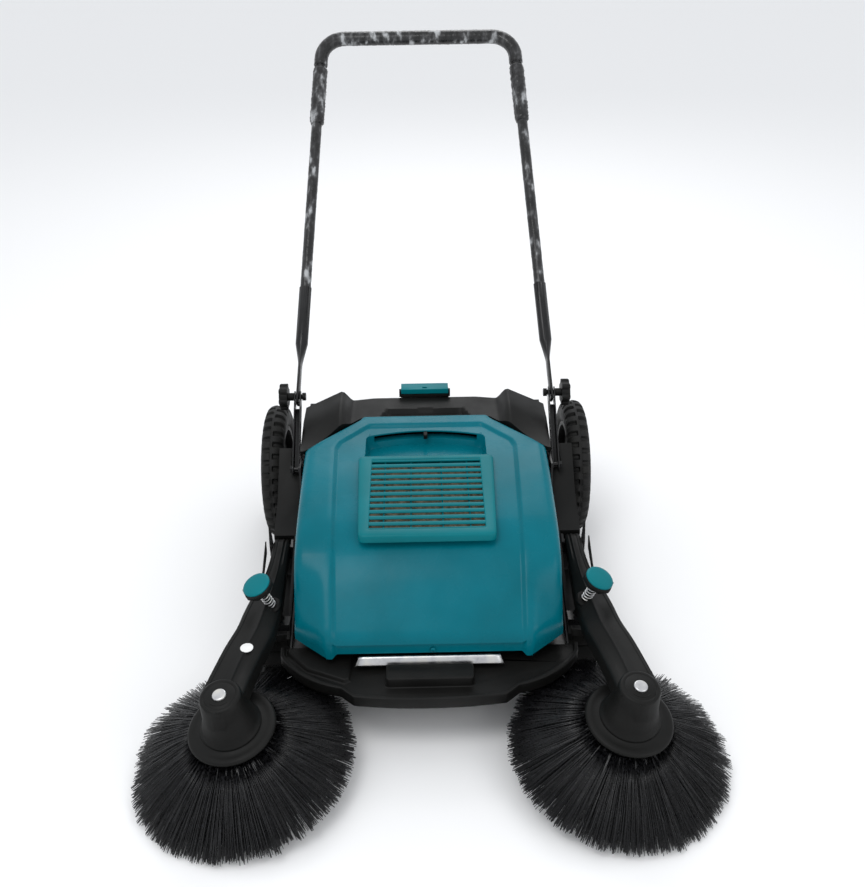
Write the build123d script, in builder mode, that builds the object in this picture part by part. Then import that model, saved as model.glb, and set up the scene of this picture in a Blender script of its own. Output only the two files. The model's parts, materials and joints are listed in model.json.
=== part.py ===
from build123d import *
import math
import os

# Walk-behind sweeper: a black chassis on two wheels and a castor, a teal cover over the roller
# brush, a dust bin at the rear, two side brushes on hinged arms, and a folding push handle.
# +Z is up, the machine sweeps towards -Y, and the operator stands at +Y. Left is +X, as the
# operator sees it. The origin is on the floor, under the middle of the whole machine.

os.makedirs("parts", exist_ok=True)

# ---------------------------------------------------------------- driving dimensions (mm)
AXLE_Y = 144
WHEEL_R = 140
WHEEL_W = 46
WHEEL_X = 313                  # middle of the tyre
RIM_R = 96
AXLE_D = 20
RUN_FIT = 0.08                 # radial clearance of a running fit
PULLEY_X = 271                 # plane of the drive belt
WHEEL_PULLEY_R = 45
BRUSH_PULLEY_R = 18

ROLLER_Y, ROLLER_Z = -110, 126
ROLLER_R = 124
ROLLER_HALF = 226
ROLLER_CORE_R = 40

PLATE_X = 239                  # inner face of the steel side plates
PLATE_T = 3

COVER_HALF = 232
COVER_T = 4
COVER_HINGE_Y, COVER_HINGE_Z = -424, 126
COVER_TOP = [(84, 308), (-86, 304), (-286, 276), (-418, 168)]
COVER_FRONT_Y = -421
COVER_FRONT_Z = 131

FENDER_X = 286                 # outer face of the side housings
FENDER_TOP = [(4, 284), (-84, 218), (-174, 190), (-359, 120)]

GRILLE_Z = 309
GRILLE_REAR_Y, GRILLE_FRONT_Y = -67, -291
GRILLE_REAR_HALF, GRILLE_FRONT_HALF = 127, 119

BIN_HALF = 228
BIN_FRONT_Y, BIN_REAR_Y = 44, 224
BIN_BOTTOM, BIN_TOP = 48, 252
LATCH_Y, LATCH_Z = 174, 312                     # pin of the bin latch
LATCH_PIN_R = 2.5

HINGE_X, HINGE_Y, HINGE_Z = 270, -178, 182      # side arm hinge pin
FENDER_WAIST_X = 248                            # side housing beside the arm
BRUSH_X, BRUSH_Y, BRUSH_Z = 304, -543, 33.5     # middle of a side brush's ring of tips
BRUSH_OUT, BRUSH_FWD = 5.8, 7.5                 # lean of the side brush axis, degrees
BRUSH_TIP_R = 185
FLANGE_R = 70
FLANGE_H = 87                                   # flange above the ring of tips
ARM_TOP_H = 162                                 # top of the arm's end above the ring of tips
KNOB_X, KNOB_Y, KNOB_Z = 264, -338, 166         # where the height screw meets the arm
KNOB_OUT, KNOB_FWD = 20, 10                     # lean of the height screw, degrees

PIVOT_X, PIVOT_Y, PIVOT_Z = 258, 127, 330       # handle clamp bolt
HANDLE_LEAN = 45                                # handle above the horizontal, degrees
HANDLE_LEN = 824
HANDLE_TOP_HALF = 212
TUBE_D, UPPER_TUBE_D = 25.4, 22
BRACKET_X, BRACKET_Y, BRACKET_Z = 250, -44, 266  # lower bolt of the handle bracket

CASTOR_Y = -322
CASTOR_R = 37


def save(shape, name):
    """Label one finished piece and write its STEP file."""
    shape.label = name
    export_step(shape, f"parts/{name}.step")


def save_pair(shape, name):
    """Write the left-hand piece and its mirror image as two nodes."""
    save(mirror(shape, about=Plane.YZ), f"{name}_right")
    save(shape, f"{name}_left")


def both_sides(shape):
    """One group holding a left-hand piece and its mirror image."""
    return Compound(children=[shape, mirror(shape, about=Plane.YZ)])


def x_plane(x, y=0.0, z=0.0):
    """A plane facing +X whose sketch axes are Y and Z."""
    return Plane(origin=(x, y, z), x_dir=(0, 1, 0), z_dir=(1, 0, 0))


def tilted_plane(origin, out_deg, fwd_deg):
    """A plane whose normal leans outwards (+X) and forwards (-Y) from the vertical."""
    lean = Vector(math.tan(math.radians(out_deg)), -math.tan(math.radians(fwd_deg)), 1)
    return Plane(origin=origin, x_dir=(1, 0, -lean.X), z_dir=lean)


def height_on(line, y):
    """Height of a falling outline, a list of (y, z) from rear to front, at one y."""
    for (y0, z0), (y1, z1) in zip(line, line[1:]):
        if y1 <= y <= y0:
            return z0 + (z1 - z0) * (y0 - y) / (y0 - y1)
    return line[-1][1]


# ================================================================ road wheels
def make_wheels():
    """Tyre, spoked rim with its belt pulley, and hub cap, all about the left axle."""
    axle = x_plane(WHEEL_X, AXLE_Y, WHEEL_R)
    half = WHEEL_W / 2

    with BuildPart() as tyre:
        with BuildSketch(axle):
            Circle(WHEEL_R)
            Circle(RIM_R, mode=Mode.SUBTRACT)
        extrude(amount=half, both=True)
        fillet(tyre.edges().filter_by(GeomType.CIRCLE).group_by(SortBy.RADIUS)[-1], radius=11)
    save_pair(tyre.part, "tyre")

    with BuildPart() as rim:
        with BuildSketch(axle):
            Circle(RIM_R)
            Circle(RIM_R - 9, mode=Mode.SUBTRACT)
        extrude(amount=half - 4, both=True)
        with BuildSketch(axle.offset(-4)):
            Circle(RIM_R - 8)
        extrude(amount=8)
        with BuildSketch(axle.offset(-4)):
            with PolarLocations(56, 6):
                Circle(17)
        extrude(amount=8, mode=Mode.SUBTRACT)
        with BuildSketch(axle.offset(-half - 1)):
            Circle(24)
        extrude(amount=WHEEL_W - 6)
        with BuildSketch(axle.offset(PULLEY_X - WHEEL_X - 7)):
            Circle(WHEEL_PULLEY_R + 3)
        extrude(amount=4)
        with BuildSketch(axle.offset(PULLEY_X - WHEEL_X - 3)):
            Circle(WHEEL_PULLEY_R - 3)
        extrude(amount=6)
        with BuildSketch(axle.offset(PULLEY_X - WHEEL_X + 3)):
            Circle(WHEEL_PULLEY_R + 3)
        extrude(amount=15)
        with BuildSketch(axle.offset(-80)):
            Circle(AXLE_D / 2 + RUN_FIT)
        extrude(amount=160, mode=Mode.SUBTRACT)
    save_pair(rim.part, "wheel_rim")

    with BuildPart() as cap:
        with BuildSketch(axle.offset(half - 7)):
            Circle(24)
        extrude(amount=6)
        fillet(cap.faces().sort_by(Axis.X)[-1].edges(), radius=3)
    save_pair(cap.part, "hub_cap")


def make_axles():
    """Stub axles through the side plates, and the steel side plates that carry them."""
    with BuildPart() as axle:
        with BuildSketch(x_plane(PLATE_X - 8, AXLE_Y, WHEEL_R)):
            Circle(AXLE_D / 2)
        extrude(amount=WHEEL_X + WHEEL_W / 2 - 8 - (PLATE_X - 8))
        with BuildSketch(x_plane(PLATE_X + PLATE_T, AXLE_Y, WHEEL_R)):
            Circle(18)
        extrude(amount=14)
    save(both_sides(axle.part), "axle_shafts")

    with BuildPart() as plate:
        with BuildSketch(x_plane(PLATE_X)):
            with BuildLine():
                Polyline((205, 60), (205, 253), (85, 253), (85, 280), (-62, 280), (-92, 206),
                         (-174, 180), (-371, 108), (-371, 60), close=True)
            make_face()
            with Locations((AXLE_Y, WHEEL_R)):
                Circle(AXLE_D / 2, mode=Mode.SUBTRACT)
            with Locations((ROLLER_Y, ROLLER_Z)):
                Circle(21, mode=Mode.SUBTRACT)
            with Locations((BRACKET_Y, BRACKET_Z)):
                Circle(4.6, mode=Mode.SUBTRACT)
        extrude(amount=PLATE_T)
    save(both_sides(plate.part), "side_plates")


# ================================================================ roller brush and drive
def make_roller():
    """Roller brush core with its shaft, bristle body, pulleys, bearings and belts."""
    with BuildPart() as core:
        with BuildSketch(x_plane(0, ROLLER_Y, ROLLER_Z)):
            Circle(ROLLER_CORE_R)
        extrude(amount=ROLLER_HALF, both=True)
        with BuildSketch(x_plane(0, ROLLER_Y, ROLLER_Z)):
            Circle(8)
        extrude(amount=PULLEY_X + 7, both=True)
    save(core.part, "roller_core")

    with BuildPart() as bristles:
        with BuildSketch(x_plane(0, ROLLER_Y, ROLLER_Z)):
            Circle(ROLLER_R)
            Circle(ROLLER_CORE_R, mode=Mode.SUBTRACT)
        extrude(amount=ROLLER_HALF - 6, both=True)
    save(bristles.part, "roller_bristles")

    with BuildPart() as pulley:
        with BuildSketch(x_plane(PULLEY_X - 6, ROLLER_Y, ROLLER_Z)):
            Circle(BRUSH_PULLEY_R + 3)
        extrude(amount=3)
        with BuildSketch(x_plane(PULLEY_X - 3, ROLLER_Y, ROLLER_Z)):
            Circle(BRUSH_PULLEY_R - 3)
        extrude(amount=6)
        with BuildSketch(x_plane(PULLEY_X + 3, ROLLER_Y, ROLLER_Z)):
            Circle(BRUSH_PULLEY_R + 3)
        extrude(amount=3)
        with BuildSketch(x_plane(PULLEY_X - 6, ROLLER_Y, ROLLER_Z)):
            Circle(8)
        extrude(amount=12, mode=Mode.SUBTRACT)
    save(both_sides(pulley.part), "roller_pulleys")

    with BuildPart() as bearing:
        with BuildSketch(x_plane(PLATE_X - 5, ROLLER_Y, ROLLER_Z)):
            Circle(21)
            Circle(8 + RUN_FIT, mode=Mode.SUBTRACT)
        extrude(amount=12)
    save(both_sides(bearing.part), "roller_bearings")

    with BuildPart() as belt:
        with BuildSketch(x_plane(PULLEY_X - 2)):
            with Locations((AXLE_Y, WHEEL_R)):
                Circle(WHEEL_PULLEY_R + 1.2)
            with Locations((ROLLER_Y, ROLLER_Z)):
                Circle(BRUSH_PULLEY_R + 1.2)
            make_hull()
            with Locations((AXLE_Y, WHEEL_R)):
                Circle(WHEEL_PULLEY_R - 2.8, mode=Mode.SUBTRACT)
            with Locations((ROLLER_Y, ROLLER_Z)):
                Circle(BRUSH_PULLEY_R - 2.8, mode=Mode.SUBTRACT)
            with BuildLine():
                belt_inner_lines()
            make_face(mode=Mode.SUBTRACT)
        extrude(amount=4)
    save(both_sides(belt.part), "drive_belts")


def belt_inner_lines():
    """The open space between the two pulleys, bounded by the belt's inner tangents."""
    big, small = WHEEL_PULLEY_R - 2.8, BRUSH_PULLEY_R - 2.8
    span = Vector(AXLE_Y - ROLLER_Y, WHEEL_R - ROLLER_Z)
    along = math.atan2(span.Y, span.X)
    turn = math.acos((big - small) / span.length)
    corners = []
    for side in (1, -1):
        angle = along + math.pi - side * turn
        corners.append((AXLE_Y + big * math.cos(angle), WHEEL_R + big * math.sin(angle),
                        ROLLER_Y + small * math.cos(angle), ROLLER_Z + small * math.sin(angle)))
    (ay, az, by, bz), (cy, cz, dy, dz) = corners
    Polyline((ay, az), (by, bz), (dy, dz), (cy, cz), close=True)


# ================================================================ chassis mouldings
def fender_outline(inset):
    """Side outline of a side housing, shrunk by the wall where its inside is cut."""
    points = [(y - (inset if i == 0 else 0), z - inset) for i, (y, z) in enumerate(FENDER_TOP)]
    front_y = FENDER_TOP[-1][0] + inset
    Polyline(*points[:-1], (front_y, points[-1][1]), (front_y, 62), (4, 62), close=True)


def make_fenders():
    """Side housing over the drive belt, open inboard, at the rear and below."""
    inner_x = PLATE_X + PLATE_T + 0.5
    with BuildPart() as fender:
        with BuildSketch(x_plane(inner_x)):
            with BuildLine():
                fender_outline(0)
            make_face()
        extrude(amount=FENDER_X - inner_x)
        with BuildSketch(Plane.XY.offset(50)):
            with Locations((FENDER_WAIST_X + 30, -262)):
                Rectangle(60, 204)
        extrude(amount=250, mode=Mode.SUBTRACT)
        with BuildSketch(x_plane(inner_x)):
            with BuildLine():
                fender_outline(3)
            make_face()
        extrude(amount=FENDER_WAIST_X - 3 - inner_x, mode=Mode.SUBTRACT)
        with BuildSketch(Plane.XY.offset(100)):
            with Locations(((inner_x + 289) / 2, -268)):
                Rectangle(289 - inner_x, 207)
        extrude(amount=4)
        with BuildSketch(x_plane(inner_x)):
            with BuildLine():
                Polyline((20, 281), (0, 281), (-82, 215), (-157, 190), (-157, 50), (20, 50),
                         close=True)
            make_face()
        extrude(amount=FENDER_X - 3 - inner_x, mode=Mode.SUBTRACT)
        with BuildSketch(Plane.XY.offset(236)):
            with Locations((inner_x + 9, -14)):
                Rectangle(22, 44)
        extrude(amount=60, mode=Mode.SUBTRACT)
    save_pair(fender.part, "side_fender")


def bumper_outline(inset):
    """Half plan of the front bumper: corner, outer sweep, step and bowed middle."""
    Polyline((0, -372), (257 - inset, -372))
    Polyline((257 - inset, -372), (255 - inset, -392))
    Spline((255 - inset, -392), (219 - inset, -437 + inset), (148, -471 + inset))
    Line((148, -471 + inset), (126, -491 + inset))
    ThreePointArc((126, -491 + inset), (64, -498 + inset), (0, -500 + inset))
    Line((0, -500 + inset), (0, -372))


def make_bumper():
    """Front bumper deck with a raised rim, side pads, central block and lower apron."""
    rim_w = 7
    with BuildPart() as bumper:
        with BuildSketch(Plane.XY.offset(92)):
            with BuildLine():
                bumper_outline(0)
            make_face()
            mirror(about=Plane.YZ)
        extrude(amount=22)
        with BuildSketch(Plane.XY.offset(109)):
            with BuildLine():
                bumper_outline(rim_w)
            make_face()
            mirror(about=Plane.YZ)
        extrude(amount=10, mode=Mode.SUBTRACT)
        with BuildSketch(Plane.XY.offset(108)):
            with Locations((0, -449)):
                RectangleRounded(148, 38, 7)
        extrude(amount=19, taper=4)
        with BuildSketch(Plane.XY.offset(108)):
            for side in (1, -1):
                with BuildLine():
                    Polyline((side * 128, -373), (side * 246, -373), (side * 244, -388),
                             (side * 208, -428), (side * 142, -458), (side * 132, -452),
                             close=True)
                make_face()
        extrude(amount=8, taper=25)
        with BuildSketch(Plane.XY.offset(70)):
            with Locations((0, -420)):
                Rectangle(300, 4)
        extrude(amount=23)
        with BuildSketch(Plane.XY.offset(76)):
            with Locations((0, -384)):
                Rectangle(340, 12)
        extrude(amount=17)
    save(bumper.part, "front_bumper")


def deck_corners(inset):
    """Plan of what is cut from both rear corners of the raised deck."""
    Polyline((112 - inset, 240), (118 - inset, 168 - inset), (168 - inset, 150 - inset),
             (260, 110 - inset), (260, 240), close=True)


def make_rear_housing():
    """Black rear deck over the dust bin, with a hand recess and two raised shoulders."""
    half, wall = 246, 3
    low = 262
    with BuildPart() as housing:
        with BuildSketch(x_plane(-half)):
            with BuildLine():
                Polyline((86, 300), (168, 300), (221, low - 2), (221, 254), (86, 254), close=True)
            make_face()
        extrude(amount=2 * half)
        with BuildSketch(Plane.XY.offset(low)):
            with BuildLine():
                deck_corners(0)
            make_face()
            mirror(about=Plane.YZ)
        extrude(amount=60, mode=Mode.SUBTRACT)
        with BuildSketch(Plane.XZ.offset(-92)):
            for side in (1, -1):
                with BuildLine():
                    Polyline((side * 168, 270), (side * 168, 300), (side * 178, 324),
                             (side * 190, 325), (side * half, 297), (side * half, 270), close=True)
                make_face()
        extrude(amount=-70)
        fillet(housing.edges().filter_by(Axis.Y).filter_by(
            lambda e: e.center().Z > 320), radius=9)
        with BuildSketch(Plane.XY.offset(284)):
            for side in (1, -1):
                with BuildLine():
                    Polyline((side * 129, 86), (side * 235.5, -22), (side * 242, -22),
                             (side * 242, 87), (side * 129, 87), close=True)
                make_face()
        extrude(amount=12)
        with BuildSketch(Plane.XY.offset(289)):
            with Locations((0, 101)):
                Trapezoid(176, 34, 64, 64)
        extrude(amount=20, mode=Mode.SUBTRACT)
        with BuildSketch(Plane.XY.offset(250)):
            with Locations((0, 150)):
                Rectangle(2 * (half - wall), 136)
        extrude(amount=8, mode=Mode.SUBTRACT)
        with BuildSketch(x_plane(-160)):
            with BuildLine():
                Polyline((89, 285), (145, 285), (170, 257), (89, 257), close=True)
            make_face()
        extrude(amount=320, mode=Mode.SUBTRACT)
        with BuildSketch(Plane.XY.offset(165)):
            for side in (1, -1):
                with Locations((side * (half - wall / 2), 153.5)):
                    Rectangle(wall, 135)
        extrude(amount=90)
    save(housing.part, "rear_housing")

    with BuildPart() as base:
        with BuildSketch(x_plane(-50)):
            with BuildLine():
                Polyline((170, 300.3), (170, 306), (196, 306), (205, 295), (205, 273.5), close=True)
            make_face()
        extrude(amount=100)
        with BuildSketch(x_plane(-43)):
            with BuildLine():
                Polyline((174, 303), (174, 308), (210, 308), (210, 280), (203, 280), (190, 300),
                         close=True)
            make_face()
        extrude(amount=86, mode=Mode.SUBTRACT)
        for ear_x in (-53, 49.5):
            with BuildSketch(x_plane(ear_x, LATCH_Y, LATCH_Z)):
                Circle(5)
                with Locations((0, -5.5)):
                    Rectangle(10, 11)
                Circle(LATCH_PIN_R + RUN_FIT, mode=Mode.SUBTRACT)
            extrude(amount=3.5)
    save(base.part, "latch_base")

    with BuildPart() as latch:
        with BuildSketch(x_plane(-42)):
            with BuildLine():
                Polyline((172, 309), (172, 316), (200, 316), (233, 276), (233, 262), (226, 262),
                         (226, 272), (196, 309), close=True)
            make_face()
        extrude(amount=84)
        with BuildSketch(x_plane(-49)):
            with BuildLine():
                Polyline((170, 308), (170, 318), (196, 318), (203, 308), close=True)
            make_face()
        extrude(amount=98)
        with BuildSketch(Plane.XY.offset(314)):
            with Locations((0, 178)):
                RectangleRounded(10, 6, 2)
        extrude(amount=10, mode=Mode.SUBTRACT)
        with BuildSketch(x_plane(-53, LATCH_Y, LATCH_Z)):
            Circle(LATCH_PIN_R)
        extrude(amount=106)
    save(latch.part, "bin_latch")


def make_frame_pieces():
    """Cross members, brush shroud, skirts, castor plate and the small steel pieces."""
    with BuildPart() as pan:
        with BuildSketch(Plane.XY.offset(98)):
            with Locations((0, -315)):
                Rectangle(2 * PLATE_X, 110)
        extrude(amount=3)
        with BuildSketch(Plane.XY.offset(60)):
            with Locations((0, -262)):
                Rectangle(2 * PLATE_X - 8, 3)
        extrude(amount=38)
    save(pan.part, "floor_pan")

    with BuildPart() as shroud:
        for half, start in ((226.5, 116), (PLATE_X, 162)):
            with BuildSketch(x_plane(-half)):
                with BuildLine():
                    CenterArc((ROLLER_Y, ROLLER_Z), 134, start, 194 - start)
                    offset(amount=1.2, side=Side.BOTH)
                make_face()
            extrude(amount=2 * half)
    save(shroud.part, "brush_shroud")

    with BuildPart() as front_skirt:
        with BuildSketch(Plane.XY.offset(6)):
            with Locations((0, -391.5)):
                Rectangle(290, 3)
        extrude(amount=84)
    save(front_skirt.part, "skirt_front")

    with BuildPart() as side_skirt:
        with BuildSketch(x_plane(PLATE_X - 3.2)):
            with Locations((-140, 38)):
                Rectangle(380, 64)
        extrude(amount=3)
    save(both_sides(side_skirt.part), "skirt_sides")

    with BuildPart() as rear_skirt:
        with BuildSketch(Plane.XY.offset(6)):
            with Locations((0, 32)):
                Rectangle(460, 3)
        extrude(amount=60)
    save(rear_skirt.part, "skirt_rear")

    with BuildPart() as strip:
        with BuildSketch(x_plane(-119)):
            with Locations((COVER_HINGE_Y, COVER_HINGE_Z)):
                Circle(3.5)
            with Locations((COVER_HINGE_Y - 1, 118)):
                Rectangle(2, 14)
            with Locations((COVER_HINGE_Y + 4, 111)):
                Rectangle(12, 2)
        extrude(amount=238)
    save(strip.part, "hinge_strip")


# ================================================================ cover and filter
def cover_form(inset):
    """The cover's closed outer form, shrunk by the wall on all sides but the bottom."""
    top = [(y - inset if i == 0 else y, z - inset) for i, (y, z) in enumerate(COVER_TOP)]
    half = COVER_HALF - inset
    rear = COVER_TOP[0][0] - inset
    front = COVER_FRONT_Y + inset
    with BuildPart() as form:
        with BuildSketch(x_plane(-half)):
            with BuildLine():
                Polyline(*top[:-1], (front + 3, top[-1][1]), (front, COVER_FRONT_Z), (-376, 134),
                         (-176, 198), (-86, 228), (-10, 280), (rear, 283), close=True)
            make_face()
        extrude(amount=2 * half)
        with BuildSketch(Plane.XY.offset(120)) as plan:
            with BuildLine():
                Polyline((0, rear), (124, rear), (half, -26), (half - 2, -376),
                         (166, front + 1), (0, front + 1))
                Line((0, front + 1), (0, rear))
            make_face()
            mirror(about=Plane.YZ)
            fillet(plan.vertices().filter_by(lambda v: abs(v.X) > 20), radius=18)
        extrude(amount=220, mode=Mode.INTERSECT)
        upper = form.edges().filter_by(lambda e: on_crown(e) and abs(e.center().X) > 20)
        fillet(upper, radius=6)
    return form.part


def on_crown(edge):
    """True for an edge between the cover's top and its sides."""
    middle = edge.center()
    return abs(middle.Z - height_on(COVER_TOP, middle.Y)) < 9


def make_cover():
    """Teal cover with a sunk centre panel, a hand recess with its slot, and a filter opening."""
    tub_floor = 278
    with BuildPart() as panel_cut:
        with BuildSketch(Plane.XY.offset(120)):
            with BuildLine():
                Polyline((0, 48), (112, 48), (172, -17), (168, -110), (158, -430), (0, -430),
                         close=True)
            make_face()
            mirror(about=Plane.YZ)
        extrude(amount=220)
        add(cover_form(2.5), mode=Mode.SUBTRACT)

    with BuildPart() as hollow:
        add(cover_form(COVER_T))
        with BuildSketch(Plane.XY.offset(tub_floor - 4)):
            with BuildLine():
                tub_outline(3)
            make_face()
        extrude(amount=60, taper=-8, mode=Mode.SUBTRACT)

    with BuildPart() as cover:
        add(cover_form(0))
        add(panel_cut.part, mode=Mode.SUBTRACT)
        with BuildSketch(Plane.XY.offset(tub_floor)):
            with BuildLine():
                tub_outline(0)
            make_face()
        extrude(amount=60, taper=-8, mode=Mode.SUBTRACT)
        add(hollow.part, mode=Mode.SUBTRACT)
        with BuildSketch(Plane.XY.offset(tub_floor + 10)):
            with Locations((0, 34)):
                Rectangle(196, 34)
        extrude(amount=11, mode=Mode.SUBTRACT)
        with BuildSketch(Plane.XY.offset(240)):
            with Locations((0, (GRILLE_REAR_Y + GRILLE_FRONT_Y) / 2)):
                Rectangle(212, 192)
        extrude(amount=80, mode=Mode.SUBTRACT)
    save(cover.part, "top_cover")

    drop = 21
    middle = (GRILLE_REAR_Y + GRILLE_FRONT_Y) / 2
    slope = drop / (GRILLE_REAR_Y - GRILLE_FRONT_Y)
    top = Plane(origin=(0, middle, GRILLE_Z - drop / 2), x_dir=(1, 0, 0), z_dir=(0, -slope, 1))
    with BuildPart() as grille:
        with BuildSketch(top):
            with BuildLine():
                grille_outline(0, middle)
            make_face()
            mirror(about=Plane.YZ)
        extrude(amount=-36)
        fillet(grille.faces().sort_by(Axis.Z)[-1].edges(), radius=3)
        with BuildSketch(top.offset(-4)):
            with BuildLine():
                grille_outline(4, middle)
            make_face()
            mirror(about=Plane.YZ)
        extrude(amount=-40, mode=Mode.SUBTRACT)
        add(cover_form(2.45), mode=Mode.SUBTRACT)
        with BuildSketch(top.offset(1)):
            with GridLocations(204, 15.5, 1, 12):
                SlotOverall(200, 7)
        extrude(amount=-8, mode=Mode.SUBTRACT)
    save(grille.part, "filter_grille")

    with BuildPart() as tray:
        with BuildSketch(Plane.XY.offset(254)):
            with Locations((0, -168)):
                Rectangle(228, 186)
                Rectangle(222, 180, mode=Mode.SUBTRACT)
        extrude(amount=15)
        with BuildSketch(Plane.XY.offset(254)):
            with Locations((0, -168)):
                Rectangle(222, 180)
                Rectangle(206, 164, mode=Mode.SUBTRACT)
        extrude(amount=1.5)
    save(tray.part, "filter_tray")

    with BuildPart() as filter_pad:
        with BuildSketch(Plane.XY.offset(255.6)):
            with Locations((0, -168)):
                Rectangle(221, 179)
        extrude(amount=12)
    save(filter_pad.part, "filter_element")


def tub_outline(grow):
    """Plan of the cover's hand recess at its floor: straight sides and a bowed rear wall."""
    half, front, rear = 116 + grow, -66 - grow, 18 + grow
    Polyline((-half, rear), (-half, front), (half, front), (half, rear))
    ThreePointArc((half, rear), (0, rear + 16), (-half, rear))


def grille_outline(inset, middle):
    """Half plan of the grille about its middle, a little narrower at the front."""
    rear_y, front_y = GRILLE_REAR_Y - inset - middle, GRILLE_FRONT_Y + inset - middle
    rear_x, front_x = GRILLE_REAR_HALF - inset, GRILLE_FRONT_HALF - inset
    FilletPolyline((0, front_y), (front_x, front_y), (rear_x, rear_y), (0, rear_y), radius=12)
    Line((0, rear_y), (0, front_y))


# ================================================================ dust bin
def make_bin():
    """Open-fronted dust bin that slides out at the rear, with its sealing strip."""
    depth = BIN_REAR_Y - BIN_FRONT_Y
    middle = (BIN_FRONT_Y + BIN_REAR_Y) / 2
    with BuildPart() as dust_bin:
        with BuildSketch(Plane.XY.offset(BIN_BOTTOM)):
            with Locations((0, middle)):
                RectangleRounded(2 * BIN_HALF, depth, 14)
        extrude(amount=BIN_TOP - BIN_BOTTOM)
        fillet(dust_bin.faces().sort_by(Axis.Z)[0].edges(), radius=8)
        with BuildSketch(Plane.XY.offset(BIN_BOTTOM + 4)):
            with Locations((0, middle)):
                RectangleRounded(2 * BIN_HALF - 8, depth - 8, 10)
        extrude(amount=BIN_TOP, mode=Mode.SUBTRACT)
        with BuildSketch(Plane.XZ.offset(-BIN_FRONT_Y + 1)):
            with Locations((0, 205)):
                Rectangle(2 * BIN_HALF - 40, 130)
        extrude(amount=-6, mode=Mode.SUBTRACT)
        with BuildSketch(Plane.XZ.offset(-BIN_REAR_Y)):
            with Locations((0, 222)):
                RectangleRounded(200, 26, 8)
        extrude(amount=-22)
        with BuildSketch(Plane.XY.offset(205)):
            with Locations((0, BIN_REAR_Y + 9)):
                Rectangle(188, 18)
        extrude(amount=24, mode=Mode.SUBTRACT)
        with BuildSketch(Plane.XY.offset(BIN_TOP - 8)):
            with Locations((0, BIN_REAR_Y - 2)):
                Rectangle(70, 4)
        extrude(amount=8)
    save(dust_bin.part, "dust_bin")

    with BuildPart() as seal:
        with BuildSketch(Plane.XY.offset(BIN_BOTTOM + 8)):
            with Locations((0, BIN_FRONT_Y - 2.5)):
                Rectangle(2 * BIN_HALF - 30, 5)
        extrude(amount=10)
    save(seal.part, "bin_seal")


# ================================================================ castor
def make_castor():
    """Swivel castor under the front cross member: plate, fork with its axle, and wheel."""
    trail = 24
    top = 98
    with BuildPart() as plate:
        with BuildSketch(Plane.XY.offset(top - 4)):
            with Locations((0, CASTOR_Y)):
                RectangleRounded(76, 60, 6)
                with GridLocations(56, 40, 2, 2):
                    Circle(3.2, mode=Mode.SUBTRACT)
        extrude(amount=4)
        with BuildSketch(Plane.XY.offset(top - 12)):
            with Locations((0, CASTOR_Y)):
                Circle(20)
        extrude(amount=8)
        with BuildSketch(Plane.XY.offset(top - 16)):
            with Locations((0, CASTOR_Y)):
                Circle(6)
        extrude(amount=6)
    save(plate.part, "castor_plate")

    with BuildPart() as fork:
        with BuildSketch(Plane.XY.offset(top - 15.5)):
            with Locations((0, CASTOR_Y)):
                Circle(19)
                Circle(6 + RUN_FIT, mode=Mode.SUBTRACT)
        extrude(amount=3)
        for side in (1, -1):
            with BuildSketch(x_plane(side * 17 - 1.5)):
                with BuildLine():
                    Polyline((CASTOR_Y - 14, top - 12.5), (CASTOR_Y + 12, top - 12.5),
                             (CASTOR_Y + trail + 9, CASTOR_R - 4),
                             (CASTOR_Y + trail + 5, CASTOR_R - 10),
                             (CASTOR_Y + trail - 7, CASTOR_R - 8), close=True)
                make_face()
            extrude(amount=3)
        with BuildSketch(x_plane(-20, CASTOR_Y + trail, CASTOR_R)):
            Circle(4)
        extrude(amount=40)
    save(fork.part, "castor_fork")

    with BuildPart() as wheel:
        with BuildSketch(x_plane(0, CASTOR_Y + trail, CASTOR_R)):
            Circle(CASTOR_R)
            Circle(4 + RUN_FIT, mode=Mode.SUBTRACT)
        extrude(amount=12, both=True)
        fillet(wheel.edges().filter_by(GeomType.CIRCLE).group_by(SortBy.RADIUS)[-1], radius=4)
    save(wheel.part, "castor_wheel")


# ================================================================ side brush arms
BRUSH_PLANE = tilted_plane((BRUSH_X, BRUSH_Y, BRUSH_Z), BRUSH_OUT, BRUSH_FWD)
KNOB_PLANE = tilted_plane((KNOB_X, KNOB_Y, KNOB_Z), KNOB_OUT, KNOB_FWD)


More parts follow.
